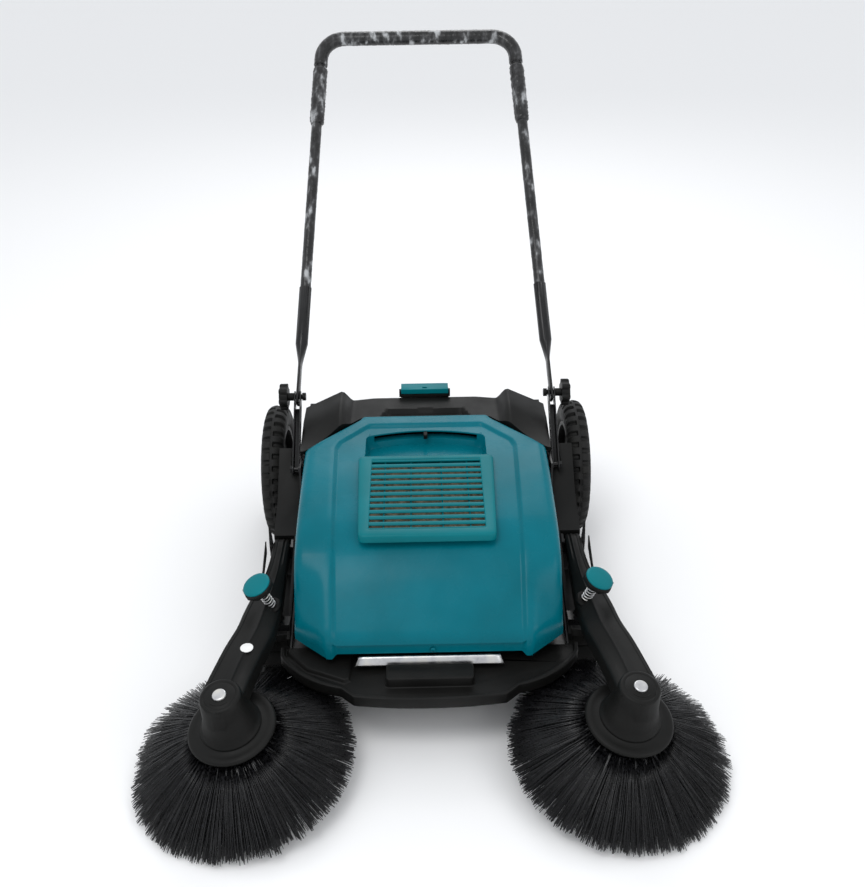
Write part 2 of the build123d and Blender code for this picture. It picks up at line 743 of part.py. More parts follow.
def make_arms():
    """Hollow moulded arm from its hinge to the cup that holds the brush spindle."""
    tip = BRUSH_PLANE.offset(ARM_TOP_H)
    end = tip.origin
    boss_h = 6
    cheek, cheek_out = 4, 21.6
    sections = [
        (HINGE_X, HINGE_Y + 11, HINGE_Z + 12, 30, 24),
        (HINGE_X, HINGE_Y - 11, HINGE_Z + 12, 30, 24),
        (HINGE_X + 2, HINGE_Y - 80, HINGE_Z + 8, 34, 32),
        (KNOB_X + 17, KNOB_Y + 7, KNOB_Z + 22, 52, 40),
        (KNOB_X + 25, KNOB_Y - 73, KNOB_Z + 30, 58, 42),
        (end.X - 6, end.Y + 62, end.Z + 2, 60, 42),
        (end.X, end.Y, end.Z + 2, 60, 42),
    ]
    with BuildPart() as arm:
        for x, y, top, width, height in sections:
            with BuildSketch(Plane(origin=(x, y, top - height / 2), x_dir=(1, 0, 0),
                                   z_dir=(0, -1, 0))):
                RectangleRounded(width, height, 6)
        loft(ruled=True)
        with BuildSketch(tip.offset(boss_h)):
            Circle(32)
        extrude(amount=-50)
        with BuildSketch(tip.offset(-26)):
            Circle(46)
        extrude(amount=-42)
        with BuildSketch(tip.offset(-62)):
            Circle(49)
        extrude(amount=-6)
        with BuildSketch(tip.offset(-38)):
            Circle(40)
        extrude(amount=-32, mode=Mode.SUBTRACT)
        with BuildSketch(tip.offset(-16)):
            Circle(10 + RUN_FIT)
        extrude(amount=-40, mode=Mode.SUBTRACT)
        with BuildSketch(KNOB_PLANE.offset(-60)):
            Circle(7)
        extrude(amount=90, mode=Mode.SUBTRACT)
        with BuildSketch(KNOB_PLANE.offset(8)):
            Circle(13)
        extrude(amount=60, mode=Mode.SUBTRACT)
        with BuildSketch(x_plane(HINGE_X - 30, HINGE_Y, HINGE_Z)):
            Circle(5 + RUN_FIT)
        extrude(amount=60, mode=Mode.SUBTRACT)
    save_pair(arm.part, "side_arm")

    with BuildPart() as bolt:
        with BuildSketch(tip.offset(boss_h)):
            Circle(11)
        extrude(amount=4)
        fillet(bolt.faces().sort_by(Axis.Z)[-1].edges(), radius=2.5)
    save_pair(bolt.part, "arm_end_bolt")

    with BuildPart() as pin:
        with BuildSketch(x_plane(HINGE_X - cheek_out, HINGE_Y, HINGE_Z)):
            Circle(5)
        extrude(amount=2 * cheek_out)
        for x, tip in ((HINGE_X - cheek_out, 14), (HINGE_X + cheek_out - cheek, 44)):
            with BuildSketch(x_plane(x, HINGE_Y, HINGE_Z)):
                with BuildLine():
                    Polyline((-9, -24), (-9, 6), (3, tip), (9, 12), (18, -24), close=True)
                make_face()
            extrude(amount=cheek)
        with BuildSketch(Plane.XY.offset(HINGE_Z - 24)):
            with Locations((HINGE_X, HINGE_Y + 4.4)):
                Rectangle(2 * cheek_out, 27)
        extrude(amount=4)
    save(both_sides(pin.part), "arm_hinge_pins")


def make_height_knobs():
    """Spring-loaded height screw: its cap, its threaded body, and the rest it bears on."""
    knob_h = 64
    with BuildPart() as knob:
        with BuildSketch(KNOB_PLANE.offset(knob_h)):
            RegularPolygon(27, 8)
        extrude(amount=10)
        fillet(knob.edges().filter_by(lambda e: e.length < 12), radius=3)
        with BuildSketch(KNOB_PLANE.offset(-24)):
            Circle(5)
        extrude(amount=knob_h + 25)
    save_pair(knob.part, "height_screw")

    with BuildPart() as cap:
        with BuildSketch(KNOB_PLANE.offset(knob_h + 10)):
            Circle(24.5)
        extrude(amount=3)
    save_pair(cap.part, "height_screw_cap")

    with BuildPart() as spring:
        with BuildSketch(KNOB_PLANE.offset(8)):
            Circle(9)
            Circle(6.5, mode=Mode.SUBTRACT)
        extrude(amount=knob_h - 8.5)
    save_pair(spring.part, "height_spring")

    with BuildPart() as rest:
        with BuildSketch(x_plane(243)):
            with BuildLine():
                Polyline((KNOB_Y + 16, 134.8), (KNOB_Y + 16, 140), (KNOB_Y - 7, 140),
                         (KNOB_Y - 7, 126.2), close=True)
            make_face()
        extrude(amount=24)
    save(both_sides(rest.part), "arm_rests")


def make_side_brushes():
    """Side brush: disc with its spindle, and the flared ring of bristles."""
    flange = BRUSH_PLANE.offset(FLANGE_H)
    with BuildPart() as disc:
        with BuildSketch(flange.offset(-12)):
            Circle(FLANGE_R - 8)
        extrude(amount=12, taper=-20)
        with BuildSketch(flange):
            Circle(FLANGE_R)
        extrude(amount=4)
        with BuildSketch(flange):
            Circle(38)
        extrude(amount=12)
        with BuildSketch(flange):
            Circle(10)
        extrude(amount=55)
    save_pair(disc.part, "brush_disc")

    with BuildPart() as bristles:
        with BuildSketch(Plane(origin=BRUSH_PLANE.origin, x_dir=BRUSH_PLANE.x_dir,
                               z_dir=-BRUSH_PLANE.y_dir)):
            with BuildLine():
                Polyline((FLANGE_R - 24, FLANGE_H - 12.5), (FLANGE_R - 4, FLANGE_H - 12.5),
                         (BRUSH_TIP_R, 5), (BRUSH_TIP_R - 12, 0.5), close=True)
            make_face()
        revolve(axis=Axis(BRUSH_PLANE.origin, BRUSH_PLANE.z_dir))
    save_pair(bristles.part, "side_bristles")


# ================================================================ push handle
def make_handle():
    """Flat-ended lower tubes, the bent upper tube, its foam grip, sleeves and clamp knobs."""
    lean = math.radians(HANDLE_LEAN)
    up = Vector(0, math.cos(lean), math.sin(lean))
    plane = Plane(origin=(0, PIVOT_Y, PIVOT_Z), x_dir=(1, 0, 0), z_dir=Vector(1, 0, 0).cross(up))

    def half_width(s):
        return PIVOT_X + (HANDLE_TOP_HALF - PIVOT_X) * s / HANDLE_LEN

    def along(s):
        return plane.from_local_coords(Vector(half_width(s), s, 0))

    run = (along(HANDLE_LEN) - along(0)).normalized()
    joint_s = 236
    with BuildPart() as lower:
        with BuildSketch(Plane(origin=along(112), z_dir=run)):
            Circle(TUBE_D / 2)
            Circle(UPPER_TUBE_D / 2, mode=Mode.SUBTRACT)
        extrude(amount=joint_s - 112)
        flat = Plane(origin=along(0), x_dir=up, z_dir=(1, 0, 0))
        with BuildSketch(Plane(origin=along(112), x_dir=(1, 0, 0), z_dir=run)):
            Circle(TUBE_D / 2)
        with BuildSketch(Plane(origin=along(62), x_dir=(1, 0, 0), z_dir=run)):
            RectangleRounded(5, 32, 2)
        loft()
        with BuildSketch(Plane(origin=along(62), x_dir=(1, 0, 0), z_dir=run)):
            RectangleRounded(5, 32, 2)
        extrude(amount=-78)
        with BuildSketch(flat.offset(-20)):
            Circle(5 + RUN_FIT)
        extrude(amount=40, mode=Mode.SUBTRACT)
    save(both_sides(lower.part), "handle_lower_tubes")

    bend = 52
    start_s = 150
    with BuildPart() as upper:
        with BuildLine():
            FilletPolyline(along(start_s), along(HANDLE_LEN),
                           along(HANDLE_LEN) - Vector(2 * HANDLE_TOP_HALF, 0, 0),
                           mirror_point(along(start_s)), radius=bend)
        with BuildSketch(Plane(origin=along(start_s), z_dir=run)):
            Circle(UPPER_TUBE_D / 2)
            Circle(UPPER_TUBE_D / 2 - 1.5, mode=Mode.SUBTRACT)
        sweep()
    save(upper.part, "handle_upper_tube")

    grip_s = HANDLE_LEN - 66
    with BuildPart() as grip:
        with BuildLine():
            FilletPolyline(along(grip_s), along(HANDLE_LEN),
                           along(HANDLE_LEN) - Vector(2 * HANDLE_TOP_HALF, 0, 0),
                           mirror_point(along(grip_s)), radius=bend)
        with BuildSketch(Plane(origin=along(grip_s), z_dir=run)):
            Circle(15.5)
            Circle(UPPER_TUBE_D / 2, mode=Mode.SUBTRACT)
        sweep()
    save(grip.part, "handle_grip")

    with BuildPart() as sleeve:
        with BuildSketch(Plane(origin=along(614), z_dir=run)):
            Circle(16.5)
            Circle(UPPER_TUBE_D / 2, mode=Mode.SUBTRACT)
        extrude(amount=138)
        fillet(sleeve.edges().filter_by(GeomType.CIRCLE).group_by(SortBy.RADIUS)[-1], radius=3)
    save(both_sides(sleeve.part), "handle_sleeves")


def mirror_point(point):
    """The same point on the other side of the machine's middle plane."""
    return Vector(-point.X, point.Y, point.Z)


def make_handle_mounts():
    """Channel brackets that hold the handle, their lower bolts, and the clamp knobs."""
    gap, wall = 4.5, 2.2
    run = Vector(PIVOT_X - BRACKET_X, PIVOT_Y - BRACKET_Y, PIVOT_Z - BRACKET_Z)
    length = run.length
    run = run.normalized()
    bar = Plane(origin=(BRACKET_X, BRACKET_Y, BRACKET_Z), x_dir=run,
                z_dir=Vector(1, 0, 0) - run * run.X)
    with BuildPart() as bracket:
        for offset_x in (-gap - wall, gap):
            with BuildSketch(bar.offset(offset_x)):
                with Locations((length / 2, 0)):
                    SlotOverall(length + 24, 24)
            extrude(amount=wall)
        with BuildSketch(bar.offset(-gap)):
            with Locations((length / 2 - 12, -10.8)):
                Rectangle(length - 24, 2.4)
        extrude(amount=2 * gap)
        with BuildSketch(bar.offset(-20)):
            Circle(4)
        extrude(amount=40, mode=Mode.SUBTRACT)
        with BuildSketch(x_plane(PIVOT_X - 20, PIVOT_Y, PIVOT_Z)):
            Circle(5 + RUN_FIT)
        extrude(amount=40, mode=Mode.SUBTRACT)
    save(both_sides(bracket.part), "handle_brackets")

    with BuildPart() as bolt:
        with BuildSketch(bar.offset(-gap - wall - 4)):
            Circle(4)
        extrude(amount=2 * (gap + wall) + 4)
        with BuildSketch(bar.offset(gap + wall)):
            RegularPolygon(7, 6)
        extrude(amount=5)
    save(both_sides(bolt.part), "bracket_bolts")

    with BuildPart() as knob:
        with BuildSketch(x_plane(PIVOT_X - 16, PIVOT_Y, PIVOT_Z)):
            Circle(5)
        extrude(amount=30)
        with BuildSketch(x_plane(PIVOT_X - 16, PIVOT_Y, PIVOT_Z)):
            Circle(8)
        extrude(amount=7)
        with BuildSketch(x_plane(PIVOT_X + 8.5, PIVOT_Y, PIVOT_Z)):
            Circle(8)
        extrude(amount=13)
        with BuildSketch(x_plane(PIVOT_X + 20, PIVOT_Y, PIVOT_Z)):
            Circle(22)
            with PolarLocations(20, 6):
                Circle(7)
        extrude(amount=17)
        fillet(knob.faces().sort_by(Axis.X)[-1].edges(), radius=4)
    save_pair(knob.part, "clamp_knob")


def make_screws():
    """Hexagon screws that hold the mouldings to the side plates, as one group."""
    places = [(246, 112, 270), (246, 112, 215),
              (FENDER_WAIST_X, -230, 122), (FENDER_WAIST_X, -340, 111)]
    screws = []
    for x, y, z in places:
        with BuildPart() as screw:
            with BuildSketch(x_plane(x, y, z)):
                RegularPolygon(6, 6)
            extrude(amount=4)
        screws += [screw.part, mirror(screw.part, about=Plane.YZ)]
    save(Compound(children=screws), "side_screws")


make_wheels()
make_axles()
make_roller()
make_fenders()
make_bumper()
make_rear_housing()
make_frame_pieces()
make_cover()
make_bin()
make_castor()
make_arms()
make_height_knobs()
make_side_brushes()
make_handle()
make_handle_mounts()
make_screws()
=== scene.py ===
"""Looks for the walk-behind sweeper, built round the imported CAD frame. Metres, same frame."""
import json
import math

import bmesh
import bpy
import numpy as np
from mathutils import Matrix, Vector, noise


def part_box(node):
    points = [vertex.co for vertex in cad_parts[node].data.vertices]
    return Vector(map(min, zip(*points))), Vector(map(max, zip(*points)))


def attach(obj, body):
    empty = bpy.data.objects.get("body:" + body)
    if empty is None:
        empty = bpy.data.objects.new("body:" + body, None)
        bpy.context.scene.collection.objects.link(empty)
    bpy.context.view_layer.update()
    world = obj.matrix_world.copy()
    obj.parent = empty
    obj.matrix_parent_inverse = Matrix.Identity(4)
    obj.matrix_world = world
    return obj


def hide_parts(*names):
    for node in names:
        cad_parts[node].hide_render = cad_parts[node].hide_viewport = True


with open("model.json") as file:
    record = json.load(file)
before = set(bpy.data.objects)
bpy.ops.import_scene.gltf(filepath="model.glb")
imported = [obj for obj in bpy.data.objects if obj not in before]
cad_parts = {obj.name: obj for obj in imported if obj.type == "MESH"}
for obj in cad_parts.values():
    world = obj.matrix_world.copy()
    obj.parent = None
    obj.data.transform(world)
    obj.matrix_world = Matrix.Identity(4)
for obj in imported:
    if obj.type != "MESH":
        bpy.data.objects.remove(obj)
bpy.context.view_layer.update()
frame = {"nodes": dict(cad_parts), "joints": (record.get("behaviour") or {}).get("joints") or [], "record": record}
MM = 0.001
SIDES = (("left", 1), ("right", -1))
JOINTS = {j["name"]: j for j in frame["joints"]}


# ============ camera, light and floor
CAMERA_PLACE = (0, -1.6563, 1.3259)
CAMERA_PITCH, CAMERA_YAW, CAMERA_ROLL = 32.0, 0.395, 1.08      # degrees
CAMERA_LENS, CAMERA_SENSOR = 40.59, 36.0                       # mm
FLOOR_HALF = 20.0
# name, place, diameter and power of each soft light
LIGHTS = (
    ("key", (-0.7, -1.1, 2.7), 1.3, 20),
    ("fill", (1.9, -1.9, 1.6), 1.4, 8),
    ("rear", (0.2, 2.3, 2.3), 1.6, 18),
)
LIGHT_AIM = Vector((0, -0.1, 0.2))


def make_camera():
    """A camera ahead of and above the machine, looking down at it with a slight roll."""
    pitch, yaw, roll = (math.radians(a) for a in (CAMERA_PITCH, CAMERA_YAW, CAMERA_ROLL))
    ahead = Vector((0, math.cos(pitch), -math.sin(pitch)))
    across = Vector((1, 0, 0))
    down = Vector((0, -math.sin(pitch), -math.cos(pitch)))
    look = math.cos(yaw) * ahead + math.sin(yaw) * across
    right = math.cos(yaw) * across - math.sin(yaw) * ahead
    right, down = (math.cos(roll) * right + math.sin(roll) * down,
                   math.cos(roll) * down - math.sin(roll) * right)
    data = bpy.data.cameras.new("camera")
    data.lens, data.sensor_width = CAMERA_LENS, CAMERA_SENSOR
    data.clip_end = 100
    camera = bpy.data.objects.new("camera", data)
    turn = Matrix((right, -down, -look)).transposed()
    camera.matrix_world = Matrix.Translation(CAMERA_PLACE) @ turn.to_4x4()
    bpy.context.scene.collection.objects.link(camera)
    bpy.context.scene.camera = camera


def make_light(name, place, size, power):
    """A round soft light that shines on the middle of the machine."""
    data = bpy.data.lights.new(name, "AREA")
    data.shape, data.size, data.energy = "DISK", size, power
    light = bpy.data.objects.new(name, data)
    light.location = place
    light.rotation_euler = (LIGHT_AIM - Vector(place)).to_track_quat("-Z", "Y").to_euler()
    bpy.context.scene.collection.objects.link(light)


def make_studio():
    """Pale seamless floor, pale surroundings and three large soft lights."""
    world = bpy.data.worlds.new("studio")
    world.use_nodes = True
    background = world.node_tree.nodes["Background"]
    background.inputs["Color"].default_value = (0.95, 0.97, 1.0, 1)
    background.inputs["Strength"].default_value = 0.92
    bpy.context.scene.world = world
    for light in LIGHTS:
        make_light(*light)
    bpy.context.scene.view_settings.view_transform = "Standard"
    mesh = bpy.data.meshes.new("floor")
    half = FLOOR_HALF
    mesh.from_pydata([(-half, -half, 0), (half, -half, 0), (half, half, 0), (-half, half, 0)],
                     [], [(0, 1, 2, 3)])
    floor = bpy.data.objects.new("floor", mesh)
    bpy.context.scene.collection.objects.link(floor)
    paper = bpy.data.materials.new("floor_paper")
    paper.use_nodes = True
    shader = paper.node_tree.nodes["Principled BSDF"]
    shader.inputs["Base Color"].default_value = (0.9, 0.9, 0.9, 1)
    shader.inputs["Roughness"].default_value = 0.9
    mesh.materials.append(paper)


# ============ materials
def link_noise(tree, scale, detail, stretch=None):
    """A noise texture in the piece's own coordinates; stretch scales them first."""
    coords = tree.nodes.new("ShaderNodeTexCoord")
    texture = tree.nodes.new("ShaderNodeTexNoise")
    texture.inputs["Scale"].default_value = scale
    texture.inputs["Detail"].default_value = detail
    source = coords.outputs["Object"]
    if stretch:
        mapping = tree.nodes.new("ShaderNodeMapping")
        mapping.inputs["Scale"].default_value = stretch
        tree.links.new(source, mapping.inputs["Vector"])
        source = mapping.outputs["Vector"]
    tree.links.new(source, texture.inputs["Vector"])
    return texture.outputs["Fac"]


def link_range(tree, value, low, high, start=0.3, stop=0.7):
    """Map a noise value to the range low to high."""
    node = tree.nodes.new("ShaderNodeMapRange")
    node.inputs["From Min"].default_value = start
    node.inputs["From Max"].default_value = stop
    node.inputs["To Min"].default_value = low
    node.inputs["To Max"].default_value = high
    tree.links.new(value, node.inputs["Value"])
    return node.outputs["Result"]


def link_colours(tree, value, stops):
    """A colour ramp over a noise value; stops are (position, colour)."""
    ramp = tree.nodes.new("ShaderNodeValToRGB")
    elements = ramp.color_ramp.elements
    while len(elements) < len(stops):
        elements.new(0.5)
    for element, (position, colour) in zip(elements, stops):
        element.position = position
        element.color = (*colour, 1)
    tree.links.new(value, ramp.inputs["Fac"])
    return ramp.outputs["Color"]


def add_bump(tree, shader, value, depth, strength=1.0):
    """Chain one more bump layer onto the shader's normal."""
    bump = tree.nodes.new("ShaderNodeBump")
    bump.inputs["Distance"].default_value = depth
    bump.inputs["Strength"].default_value = strength
    tree.links.new(value, bump.inputs["Height"])
    if shader.inputs["Normal"].is_linked:
        before = shader.inputs["Normal"].links[0].from_socket
        tree.links.new(before, bump.inputs["Normal"])
    tree.links.new(bump.outputs["Normal"], shader.inputs["Normal"])


def new_material(name, metallic=0.0, **sockets):
    """A material with a Principled shader; keywords set the shader's own sockets."""
    material = bpy.data.materials.new(name)
    material.use_nodes = True
    shader = material.node_tree.nodes["Principled BSDF"]
    shader.inputs["Metallic"].default_value = metallic
    for socket, value in sockets.items():
        shader.inputs[socket.replace("_", " ")].default_value = value
    return material, material.node_tree, shader


def plastic(name, dark, light, rough, grain, grain_depth, dust=None, gloss=0.5):
    """Moulded plastic: faint mottling, grain in the skin, uneven gloss and optional dust."""
    material, tree, shader = new_material(name, Specular_IOR_Level=gloss)
    cloud = link_noise(tree, 9, 4)
    stops = [(0.32, dark), (0.68, light)]
    if dust:
        stops.append((0.93, dust))
    tree.links.new(link_colours(tree, cloud, stops), shader.inputs["Base Color"])
    smear = link_noise(tree, 22, 5)
    tree.links.new(link_range(tree, smear, rough - 0.05, rough + 0.07),
                   shader.inputs["Roughness"])
    add_bump(tree, shader, link_noise(tree, grain, 3), grain_depth)
    add_bump(tree, shader, link_noise(tree, 60, 2), 0.00012)
    return material


def rubber(name, rough=0.62, dust=(0.028, 0.027, 0.025)):
    """Black rubber with a dusty bloom and a fine matt skin."""
    material, tree, shader = new_material(name, Specular_IOR_Level=0.25)
    bloom = link_noise(tree, 28, 6)
    stops = [(0.35, (0.006, 0.006, 0.006)), (0.6, (0.011, 0.011, 0.010)), (0.85, dust)]
    tree.links.new(link_colours(tree, bloom, stops), shader.inputs["Base Color"])
    tree.links.new(link_range(tree, bloom, rough - 0.08, rough + 0.15),
                   shader.inputs["Roughness"])
    add_bump(tree, shader, link_noise(tree, 1400, 2), 0.0001)
    return material


def bristle_material():
    """Black nylon: glossy along each strand, with strand-to-strand variation."""
    material, tree, shader = new_material("bristle_nylon", Specular_IOR_Level=0.5)
    strands = link_noise(tree, 260, 2)
    stops = [(0.35, (0.002, 0.002, 0.0025)), (0.6, (0.005, 0.005, 0.006)),
             (0.82, (0.018, 0.020, 0.027))]
    tree.links.new(link_colours(tree, strands, stops), shader.inputs["Base Color"])
    tree.links.new(link_range(tree, strands, 0.2, 0.5), shader.inputs["Roughness"])
    add_bump(tree, shader, link_noise(tree, 1800, 1), 0.00008)
    return material


def zinc_material():
    """Zinc plate: cool and warm patches with a fine brushed grain."""
    material, tree, shader = new_material("zinc_plate", metallic=1.0)
    patches = link_noise(tree, 45, 3)
    stops = [(0.3, (0.42, 0.42, 0.44)), (0.5, (0.6, 0.6, 0.6)), (0.72, (0.72, 0.7, 0.64))]
    tree.links.new(link_colours(tree, patches, stops), shader.inputs["Base Color"])
    tree.links.new(link_range(tree, patches, 0.26, 0.44), shader.inputs["Roughness"])
    add_bump(tree, shader, link_noise(tree, 300, 3, (0.15, 1, 1)), 0.00004)
    return material


def paint_material():
    """Black powder coat: glossy with orange peel and small dull patches."""
    material, tree, shader = new_material("black_powder_coat", Specular_IOR_Level=0.25,
                                          Coat_Weight=0.12, Coat_Roughness=0.12)
    patches = link_noise(tree, 30, 4)
    stops = [(0.35, (0.004, 0.004, 0.0045)), (0.75, (0.010, 0.010, 0.0105))]
    tree.links.new(link_colours(tree, patches, stops), shader.inputs["Base Color"])
    tree.links.new(link_range(tree, patches, 0.22, 0.4), shader.inputs["Roughness"])
    add_bump(tree, shader, link_noise(tree, 700, 2), 0.00006)
    return material


def film_material():
    """Black tube in stretch film: pale streaks where the film bunches are painted highlights for the film's
    glints, glossy between.
    """
    material, tree, shader = new_material("film_wrapped_black", Specular_IOR_Level=0.3,
                                          Coat_Weight=0.15, Coat_Roughness=0.15)
    creases_and_glints = link_noise(tree, 70, 9, (1.0, 0.5, 0.5))
    # the pale upper stops are painted highlight: the glints of the film painted into the colour
    stops = [(0.40, (0.010, 0.010, 0.010)), (0.52, (0.022, 0.022, 0.023)),
             (0.59, (0.07, 0.071, 0.073)), (0.70, (0.38, 0.39, 0.40))]
    tree.links.new(link_colours(tree, creases_and_glints, stops), shader.inputs["Base Color"])
    tree.links.new(link_range(tree, creases_and_glints, 0.18, 0.5), shader.inputs["Roughness"])
    add_bump(tree, shader, link_noise(tree, 120, 6, (1.0, 0.6, 0.6)), 0.0012)
    return material


def filter_material():
    """Pleated filter paper: tan-grey fibres with dust caught in the pleats."""
    material, tree, shader = new_material("filter_paper", Sheen_Weight=0.3)
    fibres = link_noise(tree, 140, 6)
    stops = [(0.35, (0.16, 0.13, 0.08)), (0.7, (0.42, 0.36, 0.25))]
    tree.links.new(link_colours(tree, fibres, stops), shader.inputs["Base Color"])
    tree.links.new(link_range(tree, fibres, 0.75, 0.95), shader.inputs["Roughness"])
    add_bump(tree, shader, fibres, 0.0004)
    return material


def make_materials():
    """One material for each of the record's slots."""
    return {
        "teal_shell": plastic("teal_shell", (0.0, 0.112, 0.146), (0.0, 0.138, 0.182), 0.25,
                              900, 0.00003, gloss=0.12),
        "teal_trim": plastic("teal_trim", (0.0, 0.130, 0.150), (0.0, 0.155, 0.182), 0.36,
                             1100, 0.00004, gloss=0.13),
        "black_shell": plastic("black_shell", (0.0035, 0.0035, 0.0032), (0.008, 0.008, 0.0074),
                               0.46, 1500, 0.00010, dust=(0.012, 0.012, 0.0112), gloss=0.16),
        "tyre_rubber": rubber("tyre_rubber"),
        "skirt_rubber": rubber("skirt_rubber", 0.5, (0.035, 0.034, 0.032)),
        "bristle": bristle_material(),
        "zinc_steel": zinc_material(),
        "black_steel": paint_material(),
        "foam": plastic("foam_black", (0.008, 0.008, 0.008), (0.014, 0.014, 0.014), 0.6,
                        900, 0.0003, gloss=0.3),
        "filter_media": filter_material(),
    }


MATERIALS = make_materials()
FILM = film_material()
BLANK_DOT = plastic("blank_white_dot", (0.75, 0.75, 0.74), (0.84, 0.84, 0.83), 0.4, 600, 0.00003)
NODE_SLOT = {s["node"]: s["material_slot"] for s in frame["record"]["subparts"]}
NODE_BODY = {n: b for b, nodes in frame["record"]["behaviour"]["bodies"].items() for n in nodes}


# ============ mesh helpers
def add_piece(name, bm, body, slot, replaced=(), material=None, smooth=True):
    """Turn a bmesh into a piece on a body, with the slot's material and smooth shading."""
    bmesh.ops.recalc_face_normals(bm, faces=bm.faces[:])
    mesh = bpy.data.meshes.new(name)
    bm.to_mesh(mesh)
    bm.free()
    if smooth:
        mesh.shade_smooth()
    mesh.materials.append(material or MATERIALS[slot])
    piece = bpy.data.objects.new(name, mesh)
    bpy.context.scene.collection.objects.link(piece)
    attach(piece, body)
    if replaced:
        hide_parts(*replaced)
    return piece


def round_edges(piece, width, segments=3, angle=28):
    """Round a piece's hard edges and keep its flat faces flat in the shading."""
    bevel = piece.modifiers.new("edges", "BEVEL")
    bevel.width, bevel.segments = width, segments
    bevel.limit_method, bevel.angle_limit = "ANGLE", math.radians(angle)
    bevel.harden_normals = True
    bevel.use_clamp_overlap = True


def add_wall(piece, thickness=0.003):
    """Thicken an open skin inwards."""
    wall = piece.modifiers.new("wall", "SOLIDIFY")
    wall.thickness, wall.offset = thickness, -1


def moulded_copy(node, width):
    """A copy of a CAD node with rounded edges, which stands for the node."""
    bm = bmesh.new()
    bm.from_mesh(frame["nodes"][node].data)
    bmesh.ops.remove_doubles(bm, verts=bm.verts[:], dist=1e-5)
    bmesh.ops.dissolve_limit(bm, angle_limit=math.radians(0.6), verts=bm.verts[:],
                             edges=bm.edges[:])
    round_edges(add_piece(f"{node}_moulding", bm, NODE_BODY[node], NODE_SLOT[node], (node,)),
                width)


def add_rings(bm, rings, closed=True, cap_start=False, cap_end=False):
    """Skin a list of rings, each a list of points of the same length."""
    rows = [[bm.verts.new(p) for p in ring] for ring in rings]
    count = len(rows[0])
    last = count if closed else count - 1
    for a, b in zip(rows, rows[1:]):
        for i in range(last):
            j = (i + 1) % count
            bm.faces.new((a[i], a[j], b[j], b[i]))
    if cap_start:
        bm.faces.new(rows[0][::-1])
    if cap_end:
        bm.faces.new(rows[-1])
    return rows


def axis_frame(axis):
    """Two unit vectors square to an axis."""
    axis = axis.normalized()
    side = axis.cross(Vector((0, 0, 1)))
    if side.length < 1e-3:
        side = Vector((1, 0, 0))
    side = side.normalized()
    return side, axis.cross(side).normalized()


def add_tube(bm, points, radius, count):
    """A round tube through points; radius is a number or a function of (share, angle)."""
    rings = []
    side = axis_frame(points[1] - points[0])[0]
    for i, point in enumerate(points):
        ahead = points[min(i + 1, len(points) - 1)] - points[max(i - 1, 0)]
        ahead.normalize()
        side = (side - ahead * side.dot(ahead)).normalized()
        up = ahead.cross(side)
        ring = []
        for k in range(count):
            angle = 2 * math.pi * k / count
            size = radius(i / (len(points) - 1), angle) if callable(radius) else radius
            ring.append(point + (side * math.cos(angle) + up * math.sin(angle)) * size)
        rings.append(ring)
    add_rings(bm, rings, cap_start=True, cap_end=True)


def revolve(bm, origin, axis, profile, count=64, closed_profile=False):
    """Turn a profile of (radius, height) about an axis through origin."""
    side, up = axis_frame(axis)
    axis = axis.normalized()
    rows = []
    for k in range(count):
        angle = 2 * math.pi * k / count
        out = side * math.cos(angle) + up * math.sin(angle)
        rows.append([bm.verts.new(origin + out * r + axis * h) for r, h in profile])
    span = len(profile) if closed_profile else len(profile) - 1
    for a, b in zip(rows, rows[1:] + rows[:1]):
        for i in range(span):
            j = (i + 1) % len(profile)
            bm.faces.new((a[i], b[i], b[j], a[j]))
    bmesh.ops.remove_doubles(bm, verts=bm.verts[:], dist=1e-6)


def smoothstep(low, high, value):
    """0 below low, 1 above high, and a smooth rise between; low may be above high."""
    t = min(1.0, max(0.0, (value - low) / (high - low)))
    return t * t * (3 - 2 * t)


def on_line(line, value):
    """Linear interpolation through (position, value) pairs in falling or rising order."""
    pairs = sorted(line)
    return float(np.interp(value, [p for p, _ in pairs], [v for _, v in pairs]))


# ============ top cover, in mm
COVER_LINE = [(84, 283), (84, 308), (-86, 304), (-286, 276), (-416, 170), (-420, 131)]
COVER_PLAN = [(84, 124), (-26, 232), (-374, 230), (-421, 172)]
COVER_LOW = [(84, 283), (-10, 280), (-86, 228), (-176, 198), (-376, 134), (-422, 131)]
PANEL_EDGE = [(48, 112), (-17, 172), (-110, 169), (-421, 160)]
TUB_HALF, TUB_FRONT, TUB_REAR, TUB_BOW = 116, -66, 18, 16
TUB_CORNER, TUB_FLOOR = 14, 273
TUB_COLUMNS = 13  # columns of faces from the middle to the tub's side
VENT_REAR, VENT_FRONT = -84, -274
PANEL_DEPTH, PANEL_SLOPE = 5.8, 5
CORNER_DROP = 40  # fall of the front corners below the crown
COVER_REAR, COVER_FRONT = 84, -421
BEND_SIZES = {1: 9, 2: 50, 3: 70, 4: 17}
# rows where the hand tub, the panel's rear step and the vent need points of their own
CROWN_ROWS = [68, 60, 56, 53, 50.5, 48, 45.5, 43, 39, 35, 31, 27, 24, 21, TUB_REAR, 16.5, 14.5,
              12, 8, 4, -10, -30, -50, TUB_FRONT, TUB_FRONT - 2, TUB_FRONT - 4, -75, VENT_REAR,
              -110, -150, -190, -230, VENT_FRONT, -300, -320, -340, -360, -374, -390, -400]
FRONT_ROWS = [(-418.6, 150), (-419.4, 140)]


